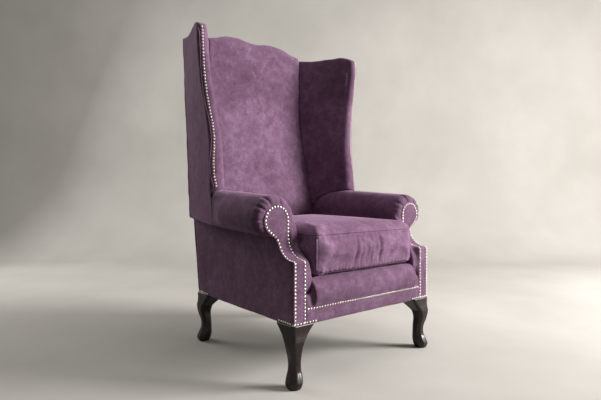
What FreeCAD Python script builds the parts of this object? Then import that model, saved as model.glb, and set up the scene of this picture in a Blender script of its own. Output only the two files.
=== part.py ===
import FreeCAD, Part
import math
import os

import Sketcher
from FreeCAD import Placement, Rotation, Vector

# Wingback armchair on four cabriole legs.
# Millimetres. +Z is up, the chair faces -Y, X = 0 is its middle plane.
# Inside each sub-part, Y starts at the front of the upholstered body and Z at the underside of its
# frame. Every Placement moves that corner back and up, so that the finished chair stands on Z = 0
# over the middle of its own footprint. Left and right are the sitter's.

doc = FreeCAD.newDocument("wingback_armchair")

# Driving dimensions
SIZES = (
    ("leg_height", 200, "floor to the underside of the frame"),
    ("front_width", 692, "upholstered body across the front"),
    ("side_taper", 41, "how far each side draws in towards the back"),
    ("body_depth", 672, "body from front to back along its underside"),
    ("body_height", 1113, "underside of the frame to the top of the crest"),
    ("front_bulge", 14, "how far the seat stands proud of the front"),
    ("board", 25, "thickness of the frame boards"),
    ("rail_height", 90, "depth of the seat rails"),
    ("tenon_length", 18, "tenon of a rail in its post"),
    ("tenon_thickness", 9, "tenon across the board"),
    ("tenon_shoulder", 15, "board left above and below a tenon"),
    ("slim_shoulder", 8, "the same on the rails of the back"),
    ("lower_rail_height", 40, "rail across the back at the waist"),
    ("cover", 6, "outside panel with its wadding"),
    ("facing_thickness", 5, "facing board of an arm front"),
    ("stump_depth", 55, "arm stump from front to back"),
    ("post_width", 50, "back post across the chair"),
    ("post_depth", 50, "back post from front to back"),
    ("post_drop", 56, "top of a back post below the crest"),
    ("brace_reach", 62, "corner brace from the corner post to its far edge"),
    ("brace_width", 30, "corner brace along a rail"),
    ("brace_height", 50, "corner brace upwards"),
    ("bolt_radius", 4, "leg bolt"),
    ("bolt_depth_leg", 35, "leg bolt inside the leg"),
    ("bolt_depth_post", 45, "leg bolt inside the post above"),
    ("bolt_clearance", 0.1, "room around a leg bolt"),
    ("bolt_inset", 42, "leg bolt in from both faces of the corner"),
    ("waist_set_back", 42, "lean of the lower back from underside to waist"),
    ("back_overhang", 28, "step of the upper back over the lower one"),
    ("side_overhang", 6, "step of the wings over the lower sides at the back"),
    ("back_lean", 131, "top of the back behind its foot"),
    ("crest_wadding", 13, "stuffing over the crest and behind the posts"),
    ("arm_height", 408, "underside of the frame to the top of an arm front"),
    ("arm_thickness", 83, "inner face of an arm to the side of the body"),
    ("arm_roll_radius", 82, "rolled top of an arm"),
    ("arm_rise", 30, "rise of an arm from its front to the back"),
    ("arm_setback", 85, "scroll face behind the front of the body"),
    ("roll_tuck", 50, "underside of a roll below its middle"),
    ("roll_border", 22, "soft rim around a scroll face"),
    ("facing_head", 52, "radius of the scroll on a facing"),
    ("facing_neck", 14, "hollow radius under the scroll"),
    ("shelf_height", 202, "foot of the swept front of an arm"),
    ("shelf_nose", 8, "rounding at the foot of the sweep"),
    ("scroll_thickness", 22, "scroll block at the head of a stump"),
    ("scroll_margin", 5, "scroll block inside the facing's edge"),
    ("arm_rail_width", 44, "arm rail across the chair"),
    ("tack_rail_gap", 25, "tack rail above the side rail"),
    ("lobe_front", 6, "front of the inside arm pad"),
    ("lobe_foot", 81, "underside of the pad's front lobe"),
    ("pad_foot", 97, "underside of the inside arm and back pads"),
    ("nail_line", 47, "nailed edge of the front border"),
    ("deck_height", 138, "top of the seat deck"),
    ("lip_depth", 45, "front lip of the seat from front to back"),
    ("lip_rise", 2, "top of the lip above the deck"),
    ("back_step", 13, "back pad set in from the inner arm faces"),
    ("wing_line", 272, "where the flare of a wing is measured, ahead of the foot of the back"),
    ("wing_roll_proud", 14, "front roll of a wing ahead of its nailed edge"),
    ("wing_top_drop", 56, "top of a wing below the crest"),
    ("wing_dip", 8, "hollow in the top edge of a wing"),
    ("wing_post_width", 28, "wing post across the chair"),
    ("wing_post_depth", 42, "wing post from front to back"),
    ("wing_rail_height", 40, "top rail of a wing"),
    ("crest_corner_drop", 34, "ends of the crest below its humps"),
    ("crest_hump", 95, "middle of the chair to the top of a hump"),
    ("crest_dip", 11, "hollow between the humps"),
    ("crest_rail_height", 70, "crest rail below the corner of the crest"),
    ("webbing_thickness", 2, "woven straps"),
    ("webbing_width", 50, "woven straps"),
    ("cushion_gap", 4, "room beside and behind the seat cushion"),
    ("cushion_belly", 15, "lower seam above the deck"),
    ("boxing_height", 127, "between the two seams of the cushion"),
    ("cushion_crown", 42, "top of the cushion above its upper seam"),
    ("shoulder_width", 52, "rounding of the cushion's top edges"),
    ("shoulder_rise", 27, "height of that rounding"),
    ("belly_width", 95, "rounding of the cushion's lower edges"),
    ("boxing_bulge", 4, "fullness of the cushion's sides between the seams"),
    ("cushion_corner", 34, "corners of the cushion seen from above"),
    ("piping", 5, "piping along the cushion seams"),
    ("side_draw", 4, "sides of the cushion pulled in between its corners"),
    ("foam_height", 100, "foam core of the cushion"),
    ("foam_margin", 14, "fibre wrap around the core"),
    ("zip_length", 400, "zip in the back of the cushion"),
    ("zip_width", 12, "zip tape"),
    ("zip_thickness", 3, "zip tape with its teeth"),
    ("seat_clearance", 0.3, "room under the resting cushion"),
    ("dust_cover_thickness", 1.2, "black cloth under the frame"),
    ("leg_notch", 86, "dust cover cut back around a leg"),
)

# Cabriole leg, from the sole to the block under the frame: share of the leg height, middle of the
# section in from both faces of the corner, half its width, rounding of its corners
LEG_STATIONS = (
    ("sole", 0.0, 17.0, 14.5, 13.5),
    ("toe", 0.03, 17.0, 18.0, 17.0),
    ("pad", 0.09, 17.5, 23.0, 22.0),
    ("instep", 0.15, 20.0, 21.5, 20.0),
    ("ankle", 0.25, 23.5, 17.0, 15.5),
    ("shank", 0.375, 24.5, 15.0, 13.0),
    ("shin", 0.5, 22.0, 16.4, 12.0),
    ("calf", 0.655, 18.5, 20.0, 11.0),
    ("knee", 0.75, 20.0, 23.0, 9.0),
    ("thigh", 0.87, 31.0, 30.4, 7.0),
    ("block", 1.0, 42.0, 42.0, 6.0),
)

# Wings and back, from the arms up: share of the height between the arm line and the crest, flare of
# the wing outside the body's side, its nailed edge ahead of the foot of the back, thickness of its
# front roll, thickness and crown of the back pad
WING_STATIONS = (
    ("arm", 0.043, 52, 240, 65, 70, 8),
    ("elbow", 0.144, 50, 240, 66, 66, 10),
    ("waist", 0.364, 47, 221, 60, 41, 14),
    ("chest", 0.508, 60, 211, 50, 33, 14),
    ("shoulder", 0.634, 82, 205, 52, 34, 12),
    ("ear", 0.823, 100, 209, 46, 50, 10),
    ("crown", 0.962, 99, 202, 40, 65, 8),
    ("over", 1.02, 99, 202, 38, 73, 8),
)

dims = doc.addObject("Spreadsheet::Sheet", "dims")
next_row = 1


def name_size(alias, amount, meaning):
    """One driving dimension: its name, its value and what it measures, in a row of the sheet."""
    global next_row
    dims.set(f"A{next_row}", alias)
    dims.set(f"B{next_row}", str(amount))
    dims.set(f"C{next_row}", meaning)
    dims.setAlias(f"B{next_row}", alias)
    next_row += 1


for alias, amount, meaning in SIZES:
    name_size(alias, amount, meaning)
for name, *amounts in LEG_STATIONS:
    for part_of_name, amount in zip(("share", "inset", "half", "rounding"), amounts):
        name_size(f"{name}_{part_of_name}", amount, "cabriole leg station")
for name, *amounts in WING_STATIONS:
    for part_of_name, amount in zip(("level", "flare", "reach", "roll", "stuffing", "crown"), amounts):
        name_size(f"{name}_{part_of_name}", amount, "wing and back station")
doc.recompute()

# Places that several sub-parts share, as expressions on the sheet
HALF = "(dims.front_width / 2)"
REAR_HALF = f"({HALF} - dims.side_taper)"
UPPER_HALF = f"({REAR_HALF} + dims.side_overhang)"
CREST = "dims.body_height"
MIDDLE = "((dims.body_depth + dims.back_lean - dims.front_bulge) / 2)"
ARM_FACE = f"({HALF} - dims.arm_thickness)"
ROLL_X = f"({ARM_FACE} + dims.arm_roll_radius)"
ARM_LINE = "(dims.arm_height - dims.arm_roll_radius)"
FACING_INNER = f"({ROLL_X} - dims.facing_head)"
SWEEP_RADIUS = "(dims.arm_setback - dims.shelf_nose)"
SWEEP_TOP = f"(dims.shelf_height + {SWEEP_RADIUS})"
WAIST = f"({ARM_LINE} - dims.roll_tuck + dims.arm_rise)"
STUMP_REAR = "(dims.facing_thickness + dims.stump_depth)"
SCROLL_REAR = "(dims.arm_setback + dims.facing_thickness + dims.scroll_thickness)"
ARM_RAIL_LOW = f"({ARM_LINE} - dims.board / 2)"
BACK_HALF = f"({ARM_FACE} - dims.back_step)"
POST_OUTER = f"({REAR_HALF} - dims.cover)"
POST_INNER = f"({POST_OUTER} - dims.post_width)"
POST_TOP = f"({CREST} - dims.post_drop)"
WING_FRONT = "(dims.body_depth - dims.wing_line)"
SEAM_LOW = "(dims.deck_height + dims.cushion_belly)"
SEAM_HIGH = f"({SEAM_LOW} + dims.boxing_height)"

pieces = []


def number(expression):
    """What an expression on the sheet comes to."""
    return float(dims.evalExpression(str(expression)))


def flank(depth, inset="0"):
    """X of the body's left side at a depth, less an inset."""
    return f"({HALF} - dims.side_taper * ({depth}) / dims.body_depth - ({inset}))"


def lower_back(height):
    """Y of the outside of the lower back."""
    return f"(dims.body_depth + dims.waist_set_back * ({height}) / {WAIST})"


def upper(height, at_waist, at_crest):
    """A straight line from the waist to the crest."""
    return f"({at_waist} + ({at_crest} - ({at_waist})) * (({height}) - {WAIST}) / ({CREST} - {WAIST}))"


def upper_back(height):
    """Y of the outside of the upper back."""
    return upper(height, f"({lower_back(WAIST)} + dims.back_overhang)", "(dims.body_depth + dims.back_lean)")


def lower_post(height):
    """Y of the back of a back post below the waist."""
    return f"({lower_back(height)} - dims.cover)"


def upper_post(height):
    """Y of the back of a back post above the waist."""
    at_crest = "(dims.body_depth + dims.back_lean - dims.crest_wadding)"
    return upper(height, lower_post(WAIST), at_crest)


def arm_line(depth):
    """Z of the middle of an arm roll."""
    run = f"(({depth}) - dims.arm_setback) / (dims.body_depth - dims.arm_setback)"
    return f"({ARM_LINE} + dims.arm_rise * {run})"


def around(across, up, radius, degrees):
    """A point on a circle."""
    return f"({across} + ({radius}) * cos({degrees}))", f"({up} + ({radius}) * sin({degrees}))"


def place(piece):
    """Carry a sub-part from its own corner to its place in the chair."""
    piece.setExpression("Placement.Base.y", f"-{MIDDLE}")
    piece.setExpression("Placement.Base.z", "dims.leg_height")
    return piece


def new_body(label):
    """An empty body in its place."""
    piece = doc.addObject("PartDesign::Body", label)
    piece.Label = label
    return place(piece)


PLANES = {"plan": "XY_Plane", "front": "XZ_Plane", "side": "YZ_Plane"}


def edge_between(start, step, end):
    """A line, or the arc through a third point. Also says whether the arc was turned round."""
    if len(step) == 2:
        return Part.LineSegment(start, end), False
    middle = Vector(number(step[2]), number(step[3]), 0)
    circle = Part.Circle(start, middle, end)
    centre = circle.Center
    turned = (middle - start).cross(end - middle).z < 0
    first, last = (end, start) if turned else (start, end)
    angles = [math.atan2(point.y - centre.y, point.x - centre.x) for point in (first, last)]
    round_circle = Part.Circle(centre, Vector(0, 0, 1), circle.Radius)
    return Part.ArcOfCircle(round_circle, angles[0], angles[1]), turned


def draw(piece, view, path, offset):
    """A closed sketch in one of the body's own planes. Each step of the path ends at its first two
    numbers, and is an arc through the next two where it has four."""
    sketch = piece.newObject("Sketcher::SketchObject", "outline")
    plane = next(item for item in piece.Origin.OriginFeatures if item.Role == PLANES[view])
    sketch.AttachmentSupport = [(plane, "")]
    sketch.MapMode = "FlatFace"
    forward = "-1 * " if view == "front" else ""
    sketch.setExpression("AttachmentOffset.Base.z", f"{forward}({offset})")
    corners = [Vector(number(step[0]), number(step[1]), 0) for step in path]
    rules = []
    bound = []

    def pin(geometry, position, across, up):
        for kind, expression in (("DistanceX", across), ("DistanceY", up)):
            bound.append((len(rules), expression))
            rules.append(Sketcher.Constraint(kind, -1, 1, geometry, position, number(expression)))

    ends = []
    arcs = []
    for index, step in enumerate(path):
        edge, turned = edge_between(corners[index - 1], step, corners[index])
        geometry = sketch.addGeometry(edge, False)
        ends.append((geometry, 1 if turned else 2))
        if len(step) == 4:
            arcs.append((geometry, step))
        if index:
            rules.append(Sketcher.Constraint("Coincident", *ends[index - 1], geometry, 3 - ends[index][1]))
    rules.append(Sketcher.Constraint("Coincident", *ends[-1], ends[0][0], 3 - ends[0][1]))
    for (geometry, position), step in zip(ends, path):
        pin(geometry, position, step[0], step[1])
    for geometry, step in arcs:
        mark = sketch.addGeometry(Part.Point(Vector(number(step[2]), number(step[3]), 0)), True)
        rules.append(Sketcher.Constraint("PointOnObject", mark, 1, geometry))
        pin(mark, 1, step[2], step[3])
    sketch.addConstraint(rules)
    for index, expression in bound:
        sketch.setExpression(f"Constraints[{index}]", str(expression))
    return sketch


def prism(piece, view, path, start, end):
    """Pad an outline of a body from one offset to another."""
    if isinstance(piece, str):
        piece = new_body(piece)
    pad = piece.newObject("PartDesign::Pad", "pad")
    pad.Profile = draw(piece, view, path, start)
    pad.Reversed = view == "front"
    pad.setExpression("Length", f"({end}) - ({start})")
    return piece


def loft(piece, view, sections, ruled=False):
    """Loft a body through outlines at their offsets."""
    if isinstance(piece, str):
        piece = new_body(piece)
    sketches = [draw(piece, view, path, offset) for offset, path in sections]
    skin = piece.newObject("PartDesign::AdditiveLoft", "skin")
    skin.Profile = sketches[0]
    skin.Sections = sketches[1:]
    skin.Ruled = ruled
    return piece


def combine(kind, label, base, tool):
    """A boolean of two objects."""
    result = doc.addObject(f"Part::{kind}", label)
    result.Label = label
    result.Base = base
    result.Tool = tool
    result.Refine = True
    return result


def common(label, base, tool):
    """What two objects share."""
    return combine("Common", label, base, tool)


def fuse(label, base, tool):
    """Two objects as one."""
    return combine("Fuse", label, base, tool)


def group(label, members):
    """Separate solids in one object."""
    bundle = doc.addObject("Part::Compound", label)
    bundle.Label = label
    bundle.Links = members
    return bundle


def cut(label, base, tools):
    """An object less others."""
    return combine("Cut", label, base, tools[0] if len(tools) == 1 else group(f"{label}_tools", tools))


def mirrored(label, source):
    """The same piece for the other side of the chair."""
    other = doc.addObject("Part::Mirroring", label)
    other.Label = label
    other.Source = source
    other.Normal = Vector(1, 0, 0)
    return other


def keep(*items):
    """Sub-parts of the chair, in the order they are made."""
    pieces.extend(items)


def both_sides(name, left):
    """Keep a left piece and its mirrored right one."""
    right = mirrored(f"{name}_right", left)
    keep(left, right)
    return right


def box_path(low_across, low_up, high_across, high_up):
    """A rectangle."""
    return [(low_across, low_up), (high_across, low_up), (high_across, high_up), (low_across, high_up)]


def slab_beside_flank(label, side_path, inner, outer):
    """A board that follows the tapering side of the body, cut to an outline seen from the side.
    inner and outer are insets from that side."""
    outline = prism(f"{label}_outline", "side", side_path, "0", HALF)
    far = "(dims.body_depth + dims.back_lean)"
    near = "(-1 * dims.front_bulge)"
    strip_path = [
        (flank(near, inner), near), (flank(near, outer), near),
        (flank(far, outer), far), (flank(far, inner), far),
    ]
    strip = prism(f"{label}_strip", "plan", strip_path, "0", CREST)
    return common(label, outline, strip)


def sweep(offset, top):
    """The front edge of an arm, from the underside up, an offset behind the face of its facing."""
    nose = f"(dims.shelf_nose - {offset})"
    hollow = f"({SWEEP_RADIUS} + {offset})"
    nose_point = around("dims.shelf_nose", "(dims.shelf_height - dims.shelf_nose)", nose, 135)
    hollow_point = around("dims.shelf_nose", SWEEP_TOP, hollow, -45)
    return [
        (offset, "0"),
        (offset, "dims.shelf_height - dims.shelf_nose"),
        ("dims.shelf_nose", f"dims.shelf_height - {offset}", *nose_point),
        (f"dims.arm_setback + {offset}", SWEEP_TOP, *hollow_point),
        (f"dims.arm_setback + {offset}", top),
    ]


def backwards(path):
    """The same open run of steps from its end to its start."""
    steps = [path[-1][:2]]
    for index in range(len(path) - 1, 0, -1):
        steps.append((*path[index - 1][:2], *path[index][2:]))
    return steps


# Legs: each one sawn to the same curved outline on two faces, and again across both diagonals
def circle_path(across, up, radius):
    """A round outline in two halves."""
    return [
        (f"{across} + {radius}", up, *around(across, up, radius, -90)),
        (f"{across} - {radius}", up, *around(across, up, radius, 90)),
    ]


def leg_outline(middle, reach):
    """A leg's outline, from its middle line and its reach to both sides at the stations. An arc runs
    through every second station."""
    names = [name for name, *_ in LEG_STATIONS]
    sides = []
    for sign in ("+", "-"):
        heights = [f"dims.{name}_share * dims.leg_height" for name in names]
        points = [(f"{middle(name)} {sign} {reach(name)}", height) for name, height in zip(names, heights)]
        run = [points[0]]
        for index in range(2, len(points), 2):
            run.append((*points[index], *points[index - 1]))
        sides.append(run)
    return sides[0] + backwards(sides[1])


def across_faces(name):
    """Half the width of a leg between its faces."""
    return f"dims.{name}_half"


def across_corners(name):
    """Half the width of a leg over its rounded corners."""
    return f"(sqrt(2) * (dims.{name}_half - dims.{name}_rounding) + dims.{name}_rounding)"


def make_leg(label, across, depth, turn):
    """A left leg whose own corner stands at a corner of the body."""
    saw_cuts = (
        ("front", 0, lambda name: f"dims.{name}_inset", across_faces),
        ("side", 0, lambda name: f"dims.{name}_inset", across_faces),
        ("front", 45, lambda name: f"sqrt(2) * dims.{name}_inset", across_corners),
        ("front", 135, lambda name: "0", across_corners),
    )
    reach = "(4 * dims.block_half)"
    blanks = []
    for view, extra, middle, half_width in saw_cuts:
        blank = prism(f"{label}_sawn", view, leg_outline(middle, half_width), f"-1 * {reach}", reach)
        blank.setExpression("Placement.Base.z", None)
        blank.Placement = Placement(Vector(0, 0, 0), Rotation(Vector(0, 0, 1), turn + extra))
        blank.setExpression("Placement.Base.x", across)
        blank.setExpression("Placement.Base.y", f"{depth} - {MIDDLE}")
        blanks.append(blank)
    shaped = doc.addObject("Part::MultiCommon", f"{label}_shaped")
    shaped.Shapes = blanks
    return cut(label, shaped, [bolt_holes])


def bolt_set(label, radius):
    """A round bar at each corner, from inside the leg to inside the post."""
    bars = []
    for side in ("-1", "1"):
        for half, depth in ((HALF, "dims.bolt_inset"), (REAR_HALF, "dims.body_depth - dims.bolt_inset")):
            bar = doc.addObject("Part::Cylinder", f"{label}_bar")
            bar.setExpression("Radius", radius)
            bar.setExpression("Height", "dims.bolt_depth_leg + dims.bolt_depth_post")
            bar.setExpression("Placement.Base.x", f"{side} * ({half} - dims.bolt_inset)")
            bar.setExpression("Placement.Base.y", f"{depth} - {MIDDLE}")
            bar.setExpression("Placement.Base.z", "dims.leg_height - dims.bolt_depth_leg")
            bars.append(bar)
    return group(label, bars)


bolt_holes = bolt_set("bolt_holes", "dims.bolt_radius + dims.bolt_clearance")
both_sides("leg_front", make_leg("leg_front_left", HALF, "0", 90))
both_sides("leg_rear", make_leg("leg_rear_left", REAR_HALF, "dims.body_depth", 180))
keep(bolt_set("leg_bolts", "dims.bolt_radius"))

# Frame: seat rails with tenons, posts with the mortises that take them
TENON_LOW = "dims.tenon_shoulder"
TENON_HIGH = "(dims.rail_height - dims.tenon_shoulder)"
TENON_INSET = "((dims.board - dims.tenon_thickness) / 2)"


def cross_rail(label, board_path, tenon_path, end):
    """A rail across the chair between two posts, with a tenon into each."""
    rail = prism(label, "side", board_path, f"-1 * {end}", end)
    long_end = f"({end} + dims.tenon_length)"
    prism(rail, "side", tenon_path, f"-1 * {long_end}", long_end)
    keep(rail)
    return rail


front_tenon_near = f"dims.cover + {TENON_INSET}"
front_tenon_far = f"{front_tenon_near} + dims.tenon_thickness"
front_rail = cross_rail(
    "front_rail",
    box_path("dims.cover", "0", "dims.cover + dims.board", "dims.rail_height"),
    box_path(front_tenon_near, TENON_LOW, front_tenon_far, TENON_HIGH),
    FACING_INNER,
)


def leaning_board(back, low, high, thickness, inset):
    """The side outline of a board that leans with the back."""
    return [
        (f"{back(low)} - {inset} - {thickness}", low),
        (f"{back(low)} - {inset}", low),
        (f"{back(high)} - {inset}", high),
        (f"{back(high)} - {inset} - {thickness}", high),
    ]


rear_rail = cross_rail(
    "rear_rail",
    leaning_board(lower_post, "0", "dims.rail_height", "dims.board", "0"),
    leaning_board(lower_post, TENON_LOW, TENON_HIGH, "dims.tenon_thickness", TENON_INSET),
    POST_INNER,
)

LOWER_RAIL_HIGH = f"({WAIST} + dims.lower_rail_height)"
BACK_RAIL_INSET = "(dims.post_depth - dims.board)"
back_tenon_inset = f"({BACK_RAIL_INSET} + {TENON_INSET})"
lower_back_rail = cross_rail(
    "lower_back_rail",
    leaning_board(upper_post, WAIST, LOWER_RAIL_HIGH, "dims.board", BACK_RAIL_INSET),
    leaning_board(
        upper_post, f"({WAIST} + dims.slim_shoulder)", f"({LOWER_RAIL_HIGH} - dims.slim_shoulder)",
        "dims.tenon_thickness", back_tenon_inset,
    ),
    POST_INNER,
)

CREST_RAIL_LOW = f"({CREST} - dims.crest_corner_drop - dims.crest_rail_height)"
CREST_TENON_HIGH = f"({POST_TOP} - dims.tenon_shoulder)"
WRAP = f"({CREST_RAIL_LOW} + 27)"


def crest_outline(half, foot, lowered):
    """The back seen from the front: straight sides under a crest with two humps."""
    top = f"({CREST} - {lowered})"
    corner = f"({top} - dims.crest_corner_drop)"
    hump = "dims.crest_hump"
    right_side = [
        (half, foot),
        (half, corner),
        (f"{hump} * 2.75", f"{corner} + dims.crest_corner_drop * 0.2"),
        (f"{hump} * 2", f"{corner} + dims.crest_corner_drop * 0.53",
         f"{hump} * 2.4", f"{corner} + dims.crest_corner_drop * 0.35"),
        (f"{hump} * 0.85", top, f"{hump} * 1.48", f"{top} - dims.crest_corner_drop * 0.18"),
        ("0", f"{top} - dims.crest_dip", f"{hump} * 0.45", f"{top} - dims.crest_dip * 0.55"),
    ]
    left_side = [(f"-1 * ({across})", up, *([f"-1 * ({via[0]})", via[1]] if via else []))
                 for across, up, *via in backwards(right_side)[1:]]
    return right_side + left_side


crest_front = prism(
    "crest_rail_front", "front", crest_outline(POST_INNER, CREST_RAIL_LOW, "dims.crest_wadding"),
    "0", "dims.body_depth + dims.back_lean",
)
crest_board = prism(
    "crest_rail_board", "side",
    leaning_board(upper_post, CREST_RAIL_LOW, CREST, "dims.board", BACK_RAIL_INSET),
    f"-1 * {POST_INNER}", POST_INNER,
)
crest_half = f"({POST_INNER} + dims.tenon_length)"
crest_tenons = prism(
    "crest_rail_tenons", "side",
    leaning_board(
        upper_post, f"({CREST_RAIL_LOW} + dims.slim_shoulder)", CREST_TENON_HIGH,
        "dims.tenon_thickness", back_tenon_inset,
    ),
    f"-1 * {crest_half}", crest_half,
)
crest_rail = fuse("crest_rail", common("crest_rail_shaped", crest_front, crest_board), crest_tenons)
keep(crest_rail)

post_path = [
    (f"{lower_post('0')} - dims.post_depth", "0"),
    (lower_post("0"), "0"),
    (lower_post(WAIST), WAIST),
    (upper_post(POST_TOP), POST_TOP),
    (f"{upper_post(POST_TOP)} - dims.post_depth", POST_TOP),
    (f"{lower_post(WAIST)} - dims.post_depth", WAIST),
]
post_blank = prism("back_post_blank", "side", post_path, POST_INNER, POST_OUTER)

rail_end = f"({lower_post('0')} - dims.post_depth)"
rail_top_end = f"({lower_post('dims.rail_height')} - dims.post_depth)"
side_rail_board = slab_beside_flank(
    "side_rail_board",
    [
        (STUMP_REAR, "0"), (rail_end, "0"),
        (rail_top_end, "dims.rail_height"), (STUMP_REAR, "dims.rail_height"),
    ],
    "dims.cover + dims.board", "dims.cover",
)
tenon_near = f"{STUMP_REAR} - dims.tenon_length"
tenon_far = f"{rail_end} + dims.tenon_length"
side_rail_tenons = slab_beside_flank(
    "side_rail_tenons",
    box_path(tenon_near, TENON_LOW, tenon_far, TENON_HIGH),
    f"dims.cover + {TENON_INSET} + dims.tenon_thickness", f"dims.cover + {TENON_INSET}",
)
side_rail_left = fuse("side_rail_left", side_rail_board, side_rail_tenons)
both_sides("side_rail", side_rail_left)

back_post_left = cut(
    "back_post_left", post_blank, [rear_rail, lower_back_rail, crest_rail, side_rail_left, bolt_holes]
)
back_post_right = both_sides("back_post", back_post_left)


# Corner braces: a board across each inside corner of the seat frame
def brace(label, corner, direction):
    """A left brace, seen from above: corner is where the cross rail's inner face starts, and
    direction is +1 towards the back or -1 towards the front."""
    far = f"({corner} + {direction} * (dims.brace_reach + dims.brace_width))"
    near = f"({corner} + {direction} * dims.brace_reach)"
    rail_face = "(dims.cover + dims.board)"
    path = [
        (f"{flank(far, rail_face)} - dims.brace_reach - dims.brace_width", corner),
        (f"{flank(near, rail_face)} - dims.brace_reach", corner),
        (flank(near, rail_face), near),
        (flank(far, rail_face), far),
    ]
    return prism(label, "plan", path, "0", "dims.brace_height")


brace_front = brace("brace_front_left", "(dims.cover + dims.board)", 1)
brace_rear = brace("brace_rear_left", f"({lower_post('0')} - dims.board)", -1)
left_braces = group("corner_braces_left", [brace_front, brace_rear])
keep(group("corner_braces", [left_braces, mirrored("corner_braces_right", left_braces)]))

# Arms: swept stump, scroll block, arm rail and tack rail
stump_path = [
    *sweep("dims.facing_thickness", ARM_RAIL_LOW),
    (f"{SCROLL_REAR} + 48", ARM_RAIL_LOW),
    (f"{SCROLL_REAR} + 48", SWEEP_TOP),
    (STUMP_REAR, "dims.shelf_height - 48", f"{SCROLL_REAR} + 14", "dims.shelf_height + 4"),
    (STUMP_REAR, "0"),
]
stump_blank = slab_beside_flank("arm_stump_blank", stump_path, f"{HALF} - {FACING_INNER}", "dims.cover")
stump_inner = prism(
    "arm_stump_inner", "plan",
    box_path(FACING_INNER, "0", HALF, f"{SCROLL_REAR} + 60"), "0", ARM_LINE,
)
stump_shaped = common("arm_stump_shaped", stump_blank, stump_inner)
arm_scroll_left = prism(
    "arm_scroll_left", "front",
    circle_path(ROLL_X, ARM_LINE, "(dims.facing_head - dims.scroll_margin)"),
    "dims.arm_setback + dims.facing_thickness", SCROLL_REAR,
)
both_sides("arm_scroll", arm_scroll_left)
arm_stump_left = cut(
    "arm_stump_left", stump_shaped, [front_rail, side_rail_left, arm_scroll_left, bolt_holes]
)
both_sides("arm_stump", arm_stump_left)

ARM_RAIL_END = f"({WING_FRONT} + 100)"
arm_rail_left = prism(
    "arm_rail_left", "plan",
    box_path(
        f"{ROLL_X} - dims.arm_rail_width / 2", SCROLL_REAR,
        f"{ROLL_X} + dims.arm_rail_width / 2", ARM_RAIL_END,
    ),
    ARM_RAIL_LOW, f"{ARM_RAIL_LOW} + dims.board",
)
both_sides("arm_rail", arm_rail_left)

TACK_LOW = "(dims.rail_height + dims.tack_rail_gap)"
TACK_HIGH = f"({TACK_LOW} + dims.board)"
tack_end = f"({lower_post(TACK_LOW)} - dims.post_depth)"
tack_top_end = f"({lower_post(TACK_HIGH)} - dims.post_depth)"
arm_tack_rail_left = slab_beside_flank(
    "arm_tack_rail_left",
    [(STUMP_REAR, TACK_LOW), (tack_end, TACK_LOW), (tack_top_end, TACK_HIGH), (STUMP_REAR, TACK_HIGH)],
    "dims.cover + dims.board", "dims.cover",
)
both_sides("arm_tack_rail", arm_tack_rail_left)


# Wings: a shaped front post on the arm rail, and a top rail back to the back post
def wing_height(name):
    """Z of a wing station."""
    return f"({ARM_LINE} + dims.{name}_level * ({CREST} - {ARM_LINE}))"


def wing_nail(name):
    """Y of a wing's nailed front edge."""
    return f"(dims.body_depth - dims.{name}_reach)"


def wing_side(name, depth):
    """X of the outside of a wing at a depth."""
    back = upper_back(wing_height(name))
    flare = f"({HALF} + dims.{name}_flare)"
    return f"({UPPER_HALF} + ({flare} - {UPPER_HALF}) * ({back} - ({depth})) / ({back} - {WING_FRONT}))"


def wing_post_section(name):
    """The post at a station, set back from the nails and in from the outside panel."""
    near = f"({wing_nail(name)} + 12)"
    far = f"({near} + dims.wing_post_depth)"
    outer = f"({wing_side(name, far)} - dims.cover - 2)"
    return box_path(f"{outer} - dims.wing_post_width", near, outer, far)


WING_RAIL_HIGH = f"({CREST} - dims.wing_top_drop - 28)"
WING_RAIL_LOW = f"({WING_RAIL_HIGH} - dims.wing_rail_height)"
POST_STATIONS = ("elbow", "waist", "chest", "shoulder", "ear")
post_sections = [(f"{ARM_RAIL_LOW} + dims.board", wing_post_section("arm"))]
post_sections += [(wing_height(name), wing_post_section(name)) for name in POST_STATIONS]
wing_post_left = loft("wing_post_left", "plan", post_sections, True)
both_sides("wing_post", wing_post_left)

rail_near = f"({wing_nail('ear')} + 12 + dims.wing_post_depth)"
rail_far = f"({upper_post(WING_RAIL_LOW)} - dims.post_depth)"
near_x = f"({wing_side('ear', rail_near)} - dims.cover - 2)"
far_x = f"({wing_side('ear', rail_far)} - dims.cover - 2)"
wing_rail_blank = prism(
    "wing_rail_blank", "plan",
    [
        (f"{near_x} - dims.board", rail_near),
        (near_x, rail_near),
        (far_x, rail_far),
        (f"{far_x} - dims.board", rail_far),
    ],
    WING_RAIL_LOW, WING_RAIL_HIGH,
)
wing_rail_left = cut("wing_rail_left", wing_rail_blank, [wing_post_left])
both_sides("wing_rail", wing_rail_left)


# Webbing of the seat and of the back
def strap_places(count, reach):
    """Evenly spaced middles of straps between -reach and +reach."""
    return [f"({reach} * {2 * (index + 0.5) / count - 1})" for index in range(count)]


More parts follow.
